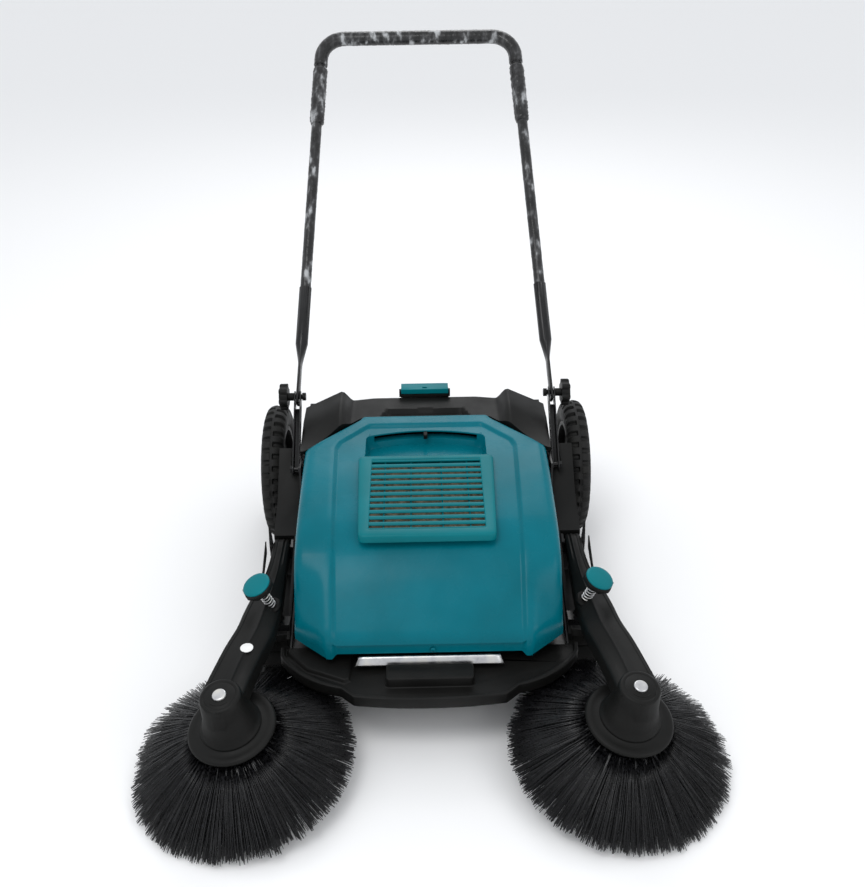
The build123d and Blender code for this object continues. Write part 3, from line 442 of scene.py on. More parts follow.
def cover_rows():
    """The cover's outline from its rear edge over the top and down the front, in mm."""
    line = [Vector(p) for p in COVER_LINE]
    rows = [line[0]]
    for i in range(1, len(line) - 1):
        corner = line[i]
        before, after = (line[i - 1] - corner).normalized(), (line[i + 1] - corner).normalized()
        size = BEND_SIZES[i]
        for k in range(9):
            t = k / 8
            rows.append((corner + before * size) * (1 - t) ** 2 + corner * 2 * t * (1 - t)
                        + (corner + after * size) * t * t)
    rows.append(line[-1])
    crown = [(r.x, r.y) for r in rows[6:-3]]
    for y in CROWN_ROWS:
        if min(abs(r.x - y) for r in rows[2:]) > 0.9:
            rows.append(Vector((y, on_line(crown, y))))
    rows += [Vector(p) for p in FRONT_ROWS]
    head = [r for r in rows if r.x >= 75]
    tail = [r for r in rows if r.x < 75 and r.y > 170]
    front = [r for r in rows if r.x < 75 and r.y <= 170]
    head.sort(key=lambda r: r.y if r.x > 83.9 else 400 - r.x)
    tail.sort(key=lambda r: -r.x)
    front.sort(key=lambda r: -r.y)
    return head + tail + front


def tub_edge(y, edge):
    """Half-width of the hand tub's column of points at one row."""
    corner = min(1.0, max(0.0, (y - TUB_REAR + TUB_CORNER) / TUB_CORNER))
    shrink = TUB_CORNER * (1 - math.sqrt(1 - corner * corner))
    return min(TUB_HALF - shrink, edge - 9)


def cover_section(y, z):
    """Half of the cover's cross-section at one row, from the middle to the lower edge."""
    plan_y = min(COVER_REAR, max(COVER_FRONT, y))
    half = on_line(COVER_PLAN, plan_y)
    low = on_line(COVER_LOW, plan_y)
    edge = min(on_line(PANEL_EDGE, min(48, plan_y)), half - 12)
    tub = tub_edge(y, edge)

    def drop(x):
        return CORNER_DROP * smoothstep(172, 236, x) * smoothstep(-296, -380, y)

    xs = [tub * i / TUB_COLUMNS for i in range(TUB_COLUMNS + 1)] + [tub + 1.5, tub + 4]
    slope_start, slope_end = edge - PANEL_SLOPE, edge + PANEL_SLOPE
    xs += [tub + 4 + (slope_start - tub - 4.5) * k / 4 for k in range(1, 5)]
    xs += [slope_start + (slope_end - slope_start) * k / 6 for k in range(7)]
    radius = max(2.5, min(17.0, half - slope_end - 2, (z - drop(half) - low) * 0.8))
    flat_end = half - radius
    xs += [slope_end + (flat_end - slope_end) * k / 5 for k in range(1, 6)]
    panel_in = smoothstep(53, 43, y) if y > 30 else 1.0
    points = []
    for x in xs:
        raised = smoothstep(slope_start, slope_end, x)
        depth = PANEL_DEPTH * panel_in * (1 - raised)
        if z < 132:
            points.append((x, y + depth, 135 - 6 * raised))
        elif z < 160:
            points.append((x, y + depth, z))
        else:
            bow = 0.0
            if TUB_FRONT <= y <= 46 and x < tub + 5:
                rise = smoothstep(TUB_FRONT, TUB_REAR, y)
                rise *= 1 - max(0.0, (y - TUB_REAR) / (46 - TUB_REAR))
                bow = TUB_BOW * rise * max(0.0, 1 - (x / (tub + 4)) ** 2)
            points.append((x, y + bow, z - depth - drop(x)))
    for k in range(1, 7):
        a = math.pi / 2 * k / 6
        x = flat_end + radius * math.sin(a)
        points.append((x, y, z - drop(x) - radius * (1 - math.cos(a))))
    top = z - drop(half) - radius
    low = 129 if z < 132 else min(low, top)
    points += [(half, y, top + (low - top) * k / 4) for k in range(1, 5)]
    return points


def make_cover():
    """Teal cover: crowned shell with a sunk panel, a hand tub with its slot and a vent."""
    bm = bmesh.new()
    grid = []
    for y, z in cover_rows():
        points = cover_section(y, z)
        ring = [(-px, py, pz) for px, py, pz in points[:0:-1]] + points
        grid.append([bm.verts.new(Vector(p) * MM) for p in ring])
    count = len(grid[0])
    middle = count // 2
    openings = ((TUB_REAR, TUB_FRONT), (VENT_REAR, VENT_FRONT))
    for a, b in zip(grid, grid[1:]):
        row_y, next_y = a[-1].co.y / MM, b[-1].co.y / MM
        is_open = any(row_y <= rear + 0.1 and next_y >= front - 0.1 for rear, front in openings)
        for i in range(count - 1):
            if is_open and middle - TUB_COLUMNS <= i < middle + TUB_COLUMNS:
                continue
            bm.faces.new((a[i], a[i + 1], b[i + 1], b[i]))
    bmesh.ops.remove_doubles(bm, verts=bm.verts[:], dist=2e-5)
    add_tub(bm)
    piece = add_piece("top_cover_shell", bm, "cover", "teal_shell", ("top_cover",))
    add_wall(piece)
    round_edges(piece, 0.0012, 2, 40)


def make_cover_details():
    """Peg that hangs in the hand slot, and the moulded stud on the cover's front face."""
    bm = bmesh.new()
    rings = []
    for y, half, top, low in ((19, 2.6, 298, 291), (21, 3.8, 299, 288), (30, 3.8, 299, 287),
                              (44, 3.0, 298, 288)):
        rings.append([Vector((x, y, z)) * MM
                      for x, z in ((-half, low), (half, low), (half, top), (-half, top))])
    add_rings(bm, rings, cap_start=True, cap_end=True)
    round_edges(add_piece("cover_slot_peg", bm, "cover", "black_shell"), 0.001)

    bm = bmesh.new()
    revolve(bm, Vector((0.006, -0.4165, 0.143)), Vector((0, -1, 0.08)),
            [(0.0, 0.0012), (0.0036, 0.0011), (0.0042, 0.0002), (0.0042, -0.003),
             (0.0, -0.003)], 24)
    add_piece("cover_moulded_stud", bm, "cover", "teal_shell")


# (drop below the cover's top, inset) of each band of the tub's wall; the last goes to the floor
TUB_BANDS = ((1.2, 0.7), (1.4, 0.4), (14, 0.8), (None, 7))
SLOT_BAND = 2
SLOT_DEPTH = 0.016


def add_tub(bm):
    """Walls and floor of the hand tub, grown from the hole left in the cover."""
    def on_rim(edge):
        return all(abs(v.co.x) < (TUB_HALF + 1) * MM and -0.068 < v.co.y < 0.036
                   and v.co.z > 0.29 for v in edge.verts)

    loop = [e for e in bm.edges if e.is_boundary and on_rim(e)]
    centre_y = (TUB_FRONT + TUB_REAR) / 2 * MM
    slot_faces = []
    for band, (depth, inset) in enumerate(TUB_BANDS):
        made = bmesh.ops.extrude_edge_only(bm, edges=loop)["geom"]
        verts = [g for g in made if isinstance(g, bmesh.types.BMVert)]
        faces = [g for g in made if isinstance(g, bmesh.types.BMFace)]
        loop = [g for g in made if isinstance(g, bmesh.types.BMEdge)
                and all(v in verts for v in g.verts)]
        for v in verts:
            inwards = Vector((max(-1, min(1, -v.co.x * 20)),
                              max(-1, min(1, (centre_y - v.co.y) * 60)), 0))
            v.co += inwards * inset * 0.6 * MM
            v.co.z = TUB_FLOOR * MM if depth is None else v.co.z - depth * MM
        if band == SLOT_BAND:
            slot_faces = [f for f in faces if all(v.co.y > 0.012 and abs(v.co.x) < 0.103
                                                  for v in f.verts)]
    bmesh.ops.contextual_create(bm, geom=loop)
    grown = bmesh.ops.extrude_face_region(bm, geom=slot_faces)["geom"]
    bmesh.ops.delete(bm, geom=slot_faces, context="FACES")
    back = [g for g in grown if isinstance(g, bmesh.types.BMVert)]
    bmesh.ops.translate(bm, verts=back, vec=(0, SLOT_DEPTH, 0))
    bmesh.ops.delete(bm, geom=[g for g in grown if isinstance(g, bmesh.types.BMFace)],
                     context="FACES")


GRILLE_TOP = 309  # height of the grille's rear edge
GRILLE_REAR, GRILLE_FRONT = -67, -291
GRILLE_FALL = 21
GRILLE_SLITS, SLIT_WIDTH = 12, 7.2


def tilted_outline(rear_half, front_half, rear_y, front_y, radius, drop=0.0, steps=5):
    """Rounded grille outline as points on the grille's sloping plane, lowered by drop."""
    corners = [(front_half, front_y), (rear_half, rear_y), (-rear_half, rear_y),
               (-front_half, front_y)]
    points = []
    for i, corner in enumerate(corners):
        corner = Vector(corner)
        before = (Vector(corners[i - 1]) - corner).normalized()
        after = (Vector(corners[(i + 1) % 4]) - corner).normalized()
        for k in range(steps + 1):
            t = k / steps
            p = ((corner + before * radius) * (1 - t) ** 2 + corner * 2 * t * (1 - t)
                 + (corner + after * radius) * t * t)
            points.append(p)
    return [Vector((p.x, p.y, grille_height(p.y) - drop)) * MM for p in points]


def grille_height(y):
    """Top of the grille, in mm, at one y."""
    return GRILLE_TOP - GRILLE_FALL * (GRILLE_REAR - y) / (GRILLE_REAR - GRILLE_FRONT)


def make_grille():
    """Filter grille: rounded frame, twelve slits between crowned bars, ribs underneath."""
    bm = bmesh.new()
    rear, front = GRILLE_REAR, GRILLE_FRONT
    field = (101, 101, rear - 13, front + 19)
    loops = [
        tilted_outline(*field, 3, 9),
        tilted_outline(*field, 3, 1.4),
        tilted_outline(102, 102, rear - 12, front + 18, 4, 0.2),
        tilted_outline(103, 103, rear - 11, front + 17, 5, 0.0),
        tilted_outline(122, 114, rear - 5, front + 5, 11, 0.0),
        tilted_outline(125.2, 117.2, rear - 1.8, front + 1.8, 12, 0.8),
        tilted_outline(127, 119, rear, front, 13, 3.2),
        tilted_outline(127.4, 119.4, rear, front - 0.4, 13, 14),
        tilted_outline(124, 116, rear - 3, front + 3, 11, 14),
        tilted_outline(123, 115, rear - 4, front + 4, 10, 5),
        tilted_outline(104, 104, rear - 10, front + 16, 5, 4),
        tilted_outline(103.5, 103.5, rear - 10.5, front + 16.5, 5, 9),
    ]
    rows = add_rings(bm, loops)
    for i in range(len(rows[0])):
        j = (i + 1) % len(rows[0])
        bm.faces.new((rows[-1][i], rows[-1][j], rows[0][j], rows[0][i]))
    pitch = (field[2] - field[3]) / GRILLE_SLITS
    for k in range(GRILLE_SLITS + 1):
        centre = field[3] + pitch * k
        depth = pitch - SLIT_WIDTH
        if k in (0, GRILLE_SLITS):
            depth /= 2
            centre += depth / 2 if k == 0 else -depth / 2
        section = []
        for t in (-1, -0.8, -0.45, 0, 0.45, 0.8, 1):
            section.append((centre + t * depth / 2, 0.9 + 1.5 * t * t * t * t))
        section += [(centre + depth / 2, 3.8), (centre - depth / 2, 3.8)]
        rings = []
        for x in (-102, 102):
            rings.append([Vector((x, y, grille_height(y) - drop)) * MM for y, drop in section])
        add_rings(bm, rings, cap_start=True, cap_end=True)
    for x in (-76, -28, 28, 76):
        rings = []
        for y in (field[3], field[2]):
            z = grille_height(y)
            rings.append([Vector((x + dx, y, z - dz)) * MM
                          for dx, dz in ((-1.2, 5.5), (1.2, 5.5), (1.2, 12), (-1.2, 12))])
        add_rings(bm, rings, cap_start=True, cap_end=True)
    piece = add_piece("filter_grille_panel", bm, "cover", "teal_trim", ("filter_grille",))
    round_edges(piece, 0.0005, 2, 50)


def make_filter():
    """Pleated filter paper in a block under the grille."""
    rear, front, half, pleats = -86, -272, 102, 46
    top, low = [], []
    for k in range(pleats + 1):
        y = front + (rear - front) * k / pleats
        z = grille_height(y) - (9 if k % 2 else 14)
        top.append((y, z))
        low.append((y, grille_height(y) - 26))
    bm = bmesh.new()
    for (y0, z0), (y1, z1), (_, l0), (_, l1) in zip(top, top[1:], low, low[1:]):
        rings = [[Vector((x, y, z)) * MM for y, z in ((y0, l0), (y1, l1), (y1, z1), (y0, z0))]
                 for x in (-half, half)]
        add_rings(bm, rings, cap_start=True, cap_end=True)
    bmesh.ops.remove_doubles(bm, verts=bm.verts[:], dist=1e-5)
    walls = [f for f in bm.faces if all(len(e.link_faces) > 2 for e in f.edges)]
    bmesh.ops.delete(bm, geom=walls, context="FACES_ONLY")
    add_piece("filter_element_pleats", bm, "cover", "filter_media", ("filter_element",),
              smooth=False)


# outline of the rubber flap, a dark sheet that also stands in for painted shade in the gap between arm and bumper:
# (x, z) in mm
FLAP_OUTLINE = [(244, 22), (292, 22), (299, 32), (299, 112), (244, 122)]
FLAP_Y, FLAP_THICKNESS = -345, 3


def make_side_flaps():
    """Rubber flap behind each side brush, under the side housing; the dark sheet also stands in for the shade in
    the gap between arm and bumper.
    """
    for side, sign in SIDES:
        bm = bmesh.new()
        rings = [[Vector((sign * x, y, z)) * MM for x, z in FLAP_OUTLINE]
                 for y in (FLAP_Y - FLAP_THICKNESS, FLAP_Y)]
        add_rings(bm, rings, cap_start=True, cap_end=True)
        round_edges(add_piece(f"flap_and_shade_{side}", bm, "chassis", "skirt_rubber"), 0.001)


# ============ rear housing, in mm
HOUSING_HALF, HOUSING_REAR = 246, 221
HOUSING_TOP = 300.0
SHOULDER_HEIGHT, SHOULDER_X = 24, 171
RECESS_DEPTH, RECESS_HALF = 10, 85
COVER_REAR_EDGE = 87  # where the housing meets the cover
HOUSING_SHARES = [0, 0.02, 0.06, 0.12, 0.2, 0.28, 0.36, 0.44, 0.52, 0.6, 0.68, 0.76, 0.84,
                  0.9, 0.95, 1]


def housing_height(x, y):
    """Top of the rear housing in mm: flat deck, finger recess and two smooth shoulders."""
    x = abs(x)
    z = HOUSING_TOP - 8 * smoothstep(86, -22, y)
    outwards = max(0.0, (x - SHOULDER_X) / (HOUSING_HALF - SHOULDER_X))
    crest = smoothstep(146, SHOULDER_X, x) * (1 - 1.3 * outwards)
    z += SHOULDER_HEIGHT * crest * smoothstep(-20, 118, y)
    bowed_y = y + 4 * (x / RECESS_HALF) ** 2
    side_edge = smoothstep(RECESS_HALF + 6, RECESS_HALF, x + max(0.0, (y - 92) * 0.45))
    return z - RECESS_DEPTH * side_edge * smoothstep(124, 118, bowed_y)


def make_rear_housing():
    """Black rear housing: one moulded skin from the cover's edge to the bin's rear wall."""
    half = HOUSING_HALF
    bm = bmesh.new()
    xs = sorted({0, half, 242.5, *range(4, 240, 6), 84, 88, 92, 127, 129, 150, 158, 166, 173})
    xs = [-x for x in xs[:0:-1]] + xs
    rows = []
    for x in xs:
        wide = abs(x)
        front = COVER_REAR_EDGE
        if wide <= 243:
            front -= max(0.0, min(wide, 236) - 129) * 1.02
        deck = on_line([(0, 168), (105, 168), (150, 160), (half, 146)], wide)
        foot_y = on_line([(0, 219), (112, 219), (122, deck + 12), (half, deck + 9)], wide)
        column = [(x, front, 284)]
        for share in HOUSING_SHARES:
            y = front + (deck - front) * share
            column.append((x, y, housing_height(x, y)))
        top = column[-1][2]
        for t in (0.12, 0.3, 0.6, 0.85, 1):
            y = deck + (foot_y - deck) * t
            column.append((x, y, top - (top - 262) * t ** (1.0 if wide < 115 else 0.9)))
        column += [(x, HOUSING_REAR, 260), (x, HOUSING_REAR, 254)]
        rows.append([Vector(p) * MM for p in column])
    add_rings(bm, rows, closed=False)
    for x in (-half, half):
        outer = [Vector((x, y, 165)) * MM for y in (COVER_REAR_EDGE, HOUSING_REAR)]
        edge = [v for v in bm.verts if abs(v.co.x - x * MM) < 1e-6]
        edge.sort(key=lambda v: (v.co.y, v.co.z if v.co.y < 0.1 else -v.co.z))
        ends = [bm.verts.new(p) for p in outer]
        bm.faces.new([ends[0], *edge, ends[1]])
    bmesh.ops.remove_doubles(bm, verts=bm.verts[:], dist=1e-5)
    piece = add_piece("rear_housing_skin", bm, "chassis", "black_shell", ("rear_housing",))
    add_wall(piece)
    round_edges(piece, 0.002, 3, 45)


# ============ front strip
def make_hinge_strip():
    """Galvanised strip under the cover's front edge: rolled knuckle, face and foot."""
    bm = bmesh.new()
    line = [(-416.5, 131), (-418, 132.6), (-421, 132.4), (-422.8, 130), (-424.8, 125.5),
            (-427.6, 121.5), (-428, 119.5)]
    back = [(y + 1.6, z - 1.2) for y, z in line]
    rings = []
    for i in range(25):
        ring = []
        for y, z in line + back[::-1]:
            half = 119 + 6 * (133 - z) / 14
            ring.append(Vector(((2 * (i / 24) - 1) * half, y, z)) * MM)
        rings.append(ring)
    add_rings(bm, rings, cap_start=True, cap_end=True)
    add_piece("hinge_strip_galvanised", bm, "chassis", "zinc_steel", ("hinge_strip",))


# ============ side brush arms
ARM_STATIONS = [
    # middle x, y, top z, width, height, fall of the inner flank
    (270, -166, 191, 28, 20, 1), (270, -178, 194, 30, 24, 2), (270, -192, 194, 30, 25, 3),
    (271, -225, 192, 31, 28, 5), (273, -262, 190, 35, 32, 8), (277, -300, 189, 43, 36, 11),
    (282, -335, 190, 52, 40, 13), (286, -372, 193, 56, 41, 13), (290, -411, 196, 58, 42, 12),
    (301, -455, 196.5, 60, 42, 11), (311, -502, 196, 61, 42, 9), (318, -545, 196, 64, 42, 5),
    (320, -564, 196, 65, 42, 3), (320, -580, 196, 57, 42, 2), (320, -590, 195.5, 40, 41, 2),
    (320, -596, 194, 16, 38, 1),
]


# outer web that rises to a point beside the hinge: (y, z), and its two faces in x
FIN_OUTLINE = [(-207, 217), (-214, 196), (-236, 190), (-300, 176), (-300, 188), (-262, 196)]
FIN_FACES = (292.2, 294.4)
# (radius, height) of the round end and the flared cup, about the brush's axis, in metres
CUP_PROFILE = [(0.0, 0.0062), (0.0235, 0.0062), (0.0245, 0.0056), (0.0255, 0.0062),
               (0.0290, 0.0060), (0.0315, 0.0045), (0.0328, 0.0015), (0.0332, -0.006),
               (0.0338, -0.020), (0.0365, -0.034), (0.0425, -0.054), (0.0445, -0.0625),
               (0.0475, -0.0650), (0.0488, -0.0675), (0.0484, -0.0700), (0.0450, -0.0710),
               (0.0420, -0.0700), (0.0400, -0.0600), (0.0360, -0.0380), (0.0110, -0.0370),
               (0.0110, -0.0160), (0.0, -0.0160)]
ARM_TOP = 0.162  # the arm's top above the ring of bristle tips
SPRING_COLLAR = [(0.0098, 0.020), (0.0098, 0.0150), (0.0140, 0.0100), (0.0165, 0.0155),
                 (0.0150, 0.0195), (0.0120, 0.0205)]


def spline_stations(stations, steps):
    """Catmull-Rom interpolation of rows of numbers."""
    rows = np.array([stations[0], *stations, stations[-1]], float)
    out = []
    for i in range(1, len(rows) - 2):
        p0, p1, p2, p3 = rows[i - 1:i + 3]
        for k in range(steps):
            t = k / steps
            out.append(0.5 * (2 * p1 + (p2 - p0) * t + (2 * p0 - 5 * p1 + 4 * p2 - p3) * t * t
                              + (3 * p1 - p0 - 3 * p2 + p3) * t ** 3))
    return out + [rows[-2]]


def make_arm(side, sign):
    """Moulded arm with a pointed outer web, a ridge on top and a flared brush cup."""
    bm = bmesh.new()
    rings = []
    for x, y, top, width, height, fall in spline_stations(ARM_STATIONS, 4):
        half = width / 2
        ridge = -half * 0.22
        section = [(half, -height), (half, -4), (half - 1.2, -1.2), (half - 4, 0),
                   (half - 7.5, 0), (half - 8.5, -0.9), (half - 9.5, -0.9), (half * 0.3, -0.9),
                   (ridge + 3.5, -0.9), (ridge + 2, 0.3), (ridge, 0.3), (ridge - 1.5, -1.2),
                   (ridge - 3, -2.5), ((ridge - half) / 2, -fall * 0.55), (-half + 4, -fall),
                   (-half + 1, -fall - 2), (-half, -fall - 5), (-half, -height)]
        rings.append([Vector((sign * (x + u), y, top + v)) * MM for u, v in section])
    add_rings(bm, rings, cap_start=True, cap_end=True)
    origin, axis, across, up = brush_frame(sign)
    revolve(bm, origin + axis * ARM_TOP, axis, CUP_PROFILE, 72)
    revolve(bm, *knob_frame(sign), SPRING_COLLAR, 40, True)
    arc = []
    front = math.atan2(up.dot(Vector((0, -1, 0))), across.dot(Vector((0, -1, 0))))
    for k in range(19):
        angle = front + math.radians(-45 + 5 * k)
        out = across * math.cos(angle) + up * math.sin(angle)
        arc.append(origin + axis * (ARM_TOP + CUP_PROFILE[0][1]) + out * 0.0185)
    add_tube(bm, arc, 0.0009, 8)
    rings = [[Vector((sign * x, y, z)) * MM for y, z in FIN_OUTLINE] for x in FIN_FACES]
    add_rings(bm, rings, cap_start=True, cap_end=True)
    piece = add_piece(f"side_arm_{side}_moulding", bm, f"arm_{side}", "black_shell",
                      (f"side_arm_{side}",))
    round_edges(piece, 0.0008, 2, 40)


def make_blank_dot():
    """Blank round sticker on the right arm, between the height screw and the brush."""
    bm = bmesh.new()
    revolve(bm, Vector((-0.2945, -0.459, 0.1957)), Vector((0, 0.01, 1)),
            [(0.0, 0.0012), (0.0100, 0.0012), (0.0104, 0.0009), (0.0104, -0.0002),
             (0.0, -0.0002)], 48)
    add_piece("arm_blank_dot", bm, "arm_right", "black_shell", (), BLANK_DOT)


# ============ wheels
def make_tyre(side, sign):
    """Tyre with alternating shoulder lugs as real geometry and a plain sidewall."""
    low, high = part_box(f"tyre_{side}")
    middle = (low + high) / 2
    radius, half = (high.z - low.z) / 2, (high.x - low.x) / 2
    rim = 0.096
    lugs, steps = 34, 10
    profile = [(rim, -half + 0.006), (rim + 0.006, -half + 0.0015), (rim + 0.016, -half),
               (radius - 0.022, -half), (radius - 0.014, -half + 0.0012),
               (radius - 0.007, -half + 0.004), (radius - 0.003, -half + 0.008),
               (radius - 0.001, -half + 0.013), (radius, -half + 0.0175),
               (radius, -0.0035), (radius - 0.001, -0.002)]
    profile += [(r, -h) for r, h in profile[::-1]]
    profile += [(rim - 0.0005, half - 0.008), (rim - 0.0005, -half + 0.008)]
    count = lugs * steps
    bm = bmesh.new()
    rows = []
    for k in range(count):
        angle = 2 * math.pi * k / count
        ring = []
        for r, h in profile:
            shift = 0.5 if h > 0 else 0.0
            phase = ((k / steps) + shift) % 1.0
            groove = smoothstep(0.0, 0.1, phase) - smoothstep(0.36, 0.46, phase)
            if r > radius - 0.015 and abs(h) > 0.003:
                r -= 0.0048 * groove * smoothstep(radius - 0.0150, radius - 0.006, r)
                r -= 0.0015 * groove
            ring.append((middle.x + h, middle.y + r * math.cos(angle),
                         middle.z + r * math.sin(angle)))
        rows.append([bm.verts.new(p) for p in ring])
    for a, b in zip(rows, rows[1:] + rows[:1]):
        for i in range(len(profile)):
            j = (i + 1) % len(profile)
            bm.faces.new((a[i], b[i], b[j], a[j]))
    piece = add_piece(f"tyre_{side}_tread", bm, f"wheel_{side}", "tyre_rubber",
                      (f"tyre_{side}",))
    round_edges(piece, 0.0006, 2, 40)


# ============ brushes
def brush_frame(sign):
    """Middle of the ring of tips and the brush's axis, with two directions square to it."""
    record = JOINTS["brush_left_spin" if sign > 0 else "brush_right_spin"]
    origin = Vector(record["pos_m"])
    axis = Vector(record["axis"]).normalized()
    if axis.z < 0:
        axis = -axis
    side, up = axis_frame(axis)
    return origin, axis, side, up


def add_strands(rng, bm_data, origin, axis, side, up, tufts, per_tuft, root, tip, width):
    """Append thin three-sided strands fanning from a ring of roots to a ring of tips."""
    verts, faces = bm_data
    pitch = 2 * math.pi / tufts
    for t in range(tufts):
        middle = t * pitch + rng.normal(0, 0.08) * pitch
        reach = rng.normal(0, 0.0016)
        lift = rng.normal(0, 0.0014)
        for _ in range(per_tuft):
            spread = rng.uniform(-1, 1)
            start = middle + spread * pitch * 0.46
            stop = middle + spread * pitch * 0.50 + rng.normal(0, 0.10) * pitch
            r0 = rng.uniform(*root[0])
            h0 = rng.uniform(*root[1])
            r1 = rng.uniform(*tip[0]) + reach
            h1 = rng.uniform(*tip[1]) + lift
            sag = rng.uniform(0.001, 0.006)
            base = len(verts)
            for k in range(4):
                s = k / 3
                angle = start + (stop - start) * s
                radius = r0 + (r1 - r0) * s
                height = h0 + (h1 - h0) * s + sag * 4 * s * (1 - s)
                out = side * math.cos(angle) + up * math.sin(angle)
                along = up * math.cos(angle) - side * math.sin(angle)
                centre = origin + out * radius + axis * height
                size = width * (1 - 0.25 * s)
                for turn in (0, 2.1, 4.2):
                    verts.append(centre + (along * math.cos(turn) + axis * math.sin(turn)) * size)
            for k in range(3):
                for i in range(3):
                    j = (i + 1) % 3
                    a, b = base + 3 * k, base + 3 * k + 3
                    faces.append((a + i, a + j, b + j, b + i))
            faces.append((base + 2, base + 1, base))
            faces.append((base + 9, base + 10, base + 11))


def strands_piece(name, verts, faces, body, replaced):
    """Turn strands into a bristle piece that stands for the CAD nodes replaced."""
    mesh = bpy.data.meshes.new(name)
    mesh.from_pydata(verts, [], faces)
    mesh.validate()
    mesh.shade_smooth()
    mesh.materials.append(MATERIALS["bristle"])
    piece = bpy.data.objects.new(name, mesh)
    bpy.context.scene.collection.objects.link(piece)
    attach(piece, body)
    if replaced:
        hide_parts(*replaced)


def make_side_brush(side, sign):
    """Flared ring of nylon tufts under a thick moulded disc with a stepped hub."""
    origin, axis, across, up = brush_frame(sign)
    rng = np.random.default_rng(11 if sign > 0 else 12)
    verts, faces = [], []
    add_strands(rng, (verts, faces), origin, axis, across, up, 62, 36,
                ((0.052, 0.068), (0.071, 0.076)), ((0.168, 0.1845), (0.002, 0.007)), 0.00085)
    add_strands(rng, (verts, faces), origin, axis, across, up, 50, 24,
                ((0.046, 0.060), (0.068, 0.073)), ((0.160, 0.178), (-0.001, 0.003)), 0.00095)
    strands_piece(f"side_bristles_{side}_tufts", verts, faces, f"brush_{side}",
                  (f"side_bristles_{side}",))

    bm = bmesh.new()
    profile = [(0.040, 0.0735), (0.066, 0.0735), (0.152, 0.0145), (0.150, 0.0115),
               (0.062, 0.068), (0.040, 0.068)]
    revolve(bm, origin, axis, profile, 96, True)
    add_piece(f"side_bristles_{side}_mass", bm, f"brush_{side}", "bristle")

    bm = bmesh.new()
    profile = [(0.0095, 0.142), (0.0095, 0.100), (0.036, 0.0995), (0.038, 0.0975),
               (0.0385, 0.0925), (0.060, 0.0915), (0.0665, 0.0912), (0.0695, 0.0895),
               (0.0705, 0.0865), (0.0690, 0.0835), (0.0655, 0.0815), (0.060, 0.0765),
               (0.057, 0.0745), (0.0095, 0.0745)]
    revolve(bm, origin, axis, profile, 96, True)
    add_piece(f"brush_disc_{side}_moulding", bm, f"brush_{side}", "black_shell",
              (f"brush_disc_{side}",))


def make_roller():
    """Roller brush: ten helical rows of short tufts set in the core."""
    low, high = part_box("roller_bristles")
    middle = (low + high) / 2
    radius, half = (high.z - low.z) / 2, (high.x - low.x) / 2
    core = 0.040
    rng = np.random.default_rng(5)
    verts, faces = [], []
    rows, along = 10, 46
    for row in range(rows):
        for i in range(along):
            x = -half + 0.006 + (2 * half - 0.012) * i / (along - 1)
            twist = abs(x) / half * 0.7
            base_angle = 2 * math.pi * row / rows + twist
            for _ in range(7):
                angle = base_angle + rng.normal(0, 0.03)
                tip_angle = angle + rng.normal(0, 0.035)
                tip = radius - rng.uniform(0.0, 0.004)
                dx = rng.normal(0, 0.0022)
                base = len(verts)
                for r, a, w, shift in ((core - 0.001, angle, 0.0012, 0.0),
                                       (tip, tip_angle, 0.0007, dx)):
                    out = Vector((0, math.cos(a), math.sin(a)))
                    side = Vector((0, -math.sin(a), math.cos(a)))
                    at = Vector((x + shift, middle.y, middle.z)) + out * r
                    verts += [at + Vector((w, 0, 0)), at + side * w, at - Vector((w, 0, 0)),
                              at - side * w]
                for k in range(4):
                    j = (k + 1) % 4
                    faces.append((base + k, base + j, base + 4 + j, base + 4 + k))
                faces.append((base + 3, base + 2, base + 1, base))
                faces.append((base + 4, base + 5, base + 6, base + 7))
    strands_piece("roller_bristles_tufts", verts, faces, "roller", ("roller_bristles",))


# ============ handle, in metres
PIVOT = Vector((0.258, 0.127, 0.330))
HANDLE_LEAN = math.radians(45)
HANDLE_LEN = 0.824
HANDLE_TOP_HALF = 0.212
HANDLE_BEND = 0.052
FILM_START, GRIP_START = 0.150, HANDLE_LEN - 0.066
SLEEVE_START, SLEEVE_LENGTH, SLEEVE_RINGS = 0.614, 0.138, 46


def handle_point(distance, sign=1):
    """A point on the handle leg's centreline at a distance up the handle's plane."""
    x = PIVOT.x + (HANDLE_TOP_HALF - PIVOT.x) * distance / HANDLE_LEN
    return Vector((sign * x, PIVOT.y + distance * math.cos(HANDLE_LEAN),
                   PIVOT.z + distance * math.sin(HANDLE_LEAN)))


def handle_path(start, step=0.004):
    """Centreline from one leg round the cross bar to the other, evenly spaced."""
    corner = handle_point(HANDLE_LEN)
    down = (handle_point(start) - corner).normalized()
    across = Vector((-1, 0, 0))
    turn = math.acos(down.dot(across))
    trim = HANDLE_BEND / math.tan(turn / 2)
    centre = corner + (down + across).normalized() * HANDLE_BEND / math.sin(turn / 2)
    first = corner + down * trim
    last = corner + across * trim
    half = [handle_point(start), first]
    arc = 12
    spoke0, spoke1 = first - centre, last - centre
    sweep = spoke0.angle(spoke1)
    for k in range(1, arc + 1):
        t = k / arc
        half.append(centre + (spoke0 * math.sin((1 - t) * sweep)
                              + spoke1 * math.sin(t * sweep)) / math.sin(sweep))
    points = half + [Vector((-p.x, p.y, p.z)) for p in half[::-1]]
    even = []
    for a, b in zip(points, points[1:]):
        pieces = max(1, round((b - a).length / step))
        even += [a.lerp(b, k / pieces) for k in range(pieces)]
    return even + [points[-1]]


def crinkle(base, height, seed):
    """Radius with creases of stretch film that run slantwise round the tube."""
    def size(share, angle):
        place = Vector((math.cos(angle) * 1.6, math.sin(angle) * 1.6, share * 130 + seed))
        ridge = 1 - abs(noise.noise(place)) * 2
        fine = noise.noise(place * 2.7)
        return base + height * (0.55 * max(0.0, ridge) ** 3 + 0.25 * fine)
    return size


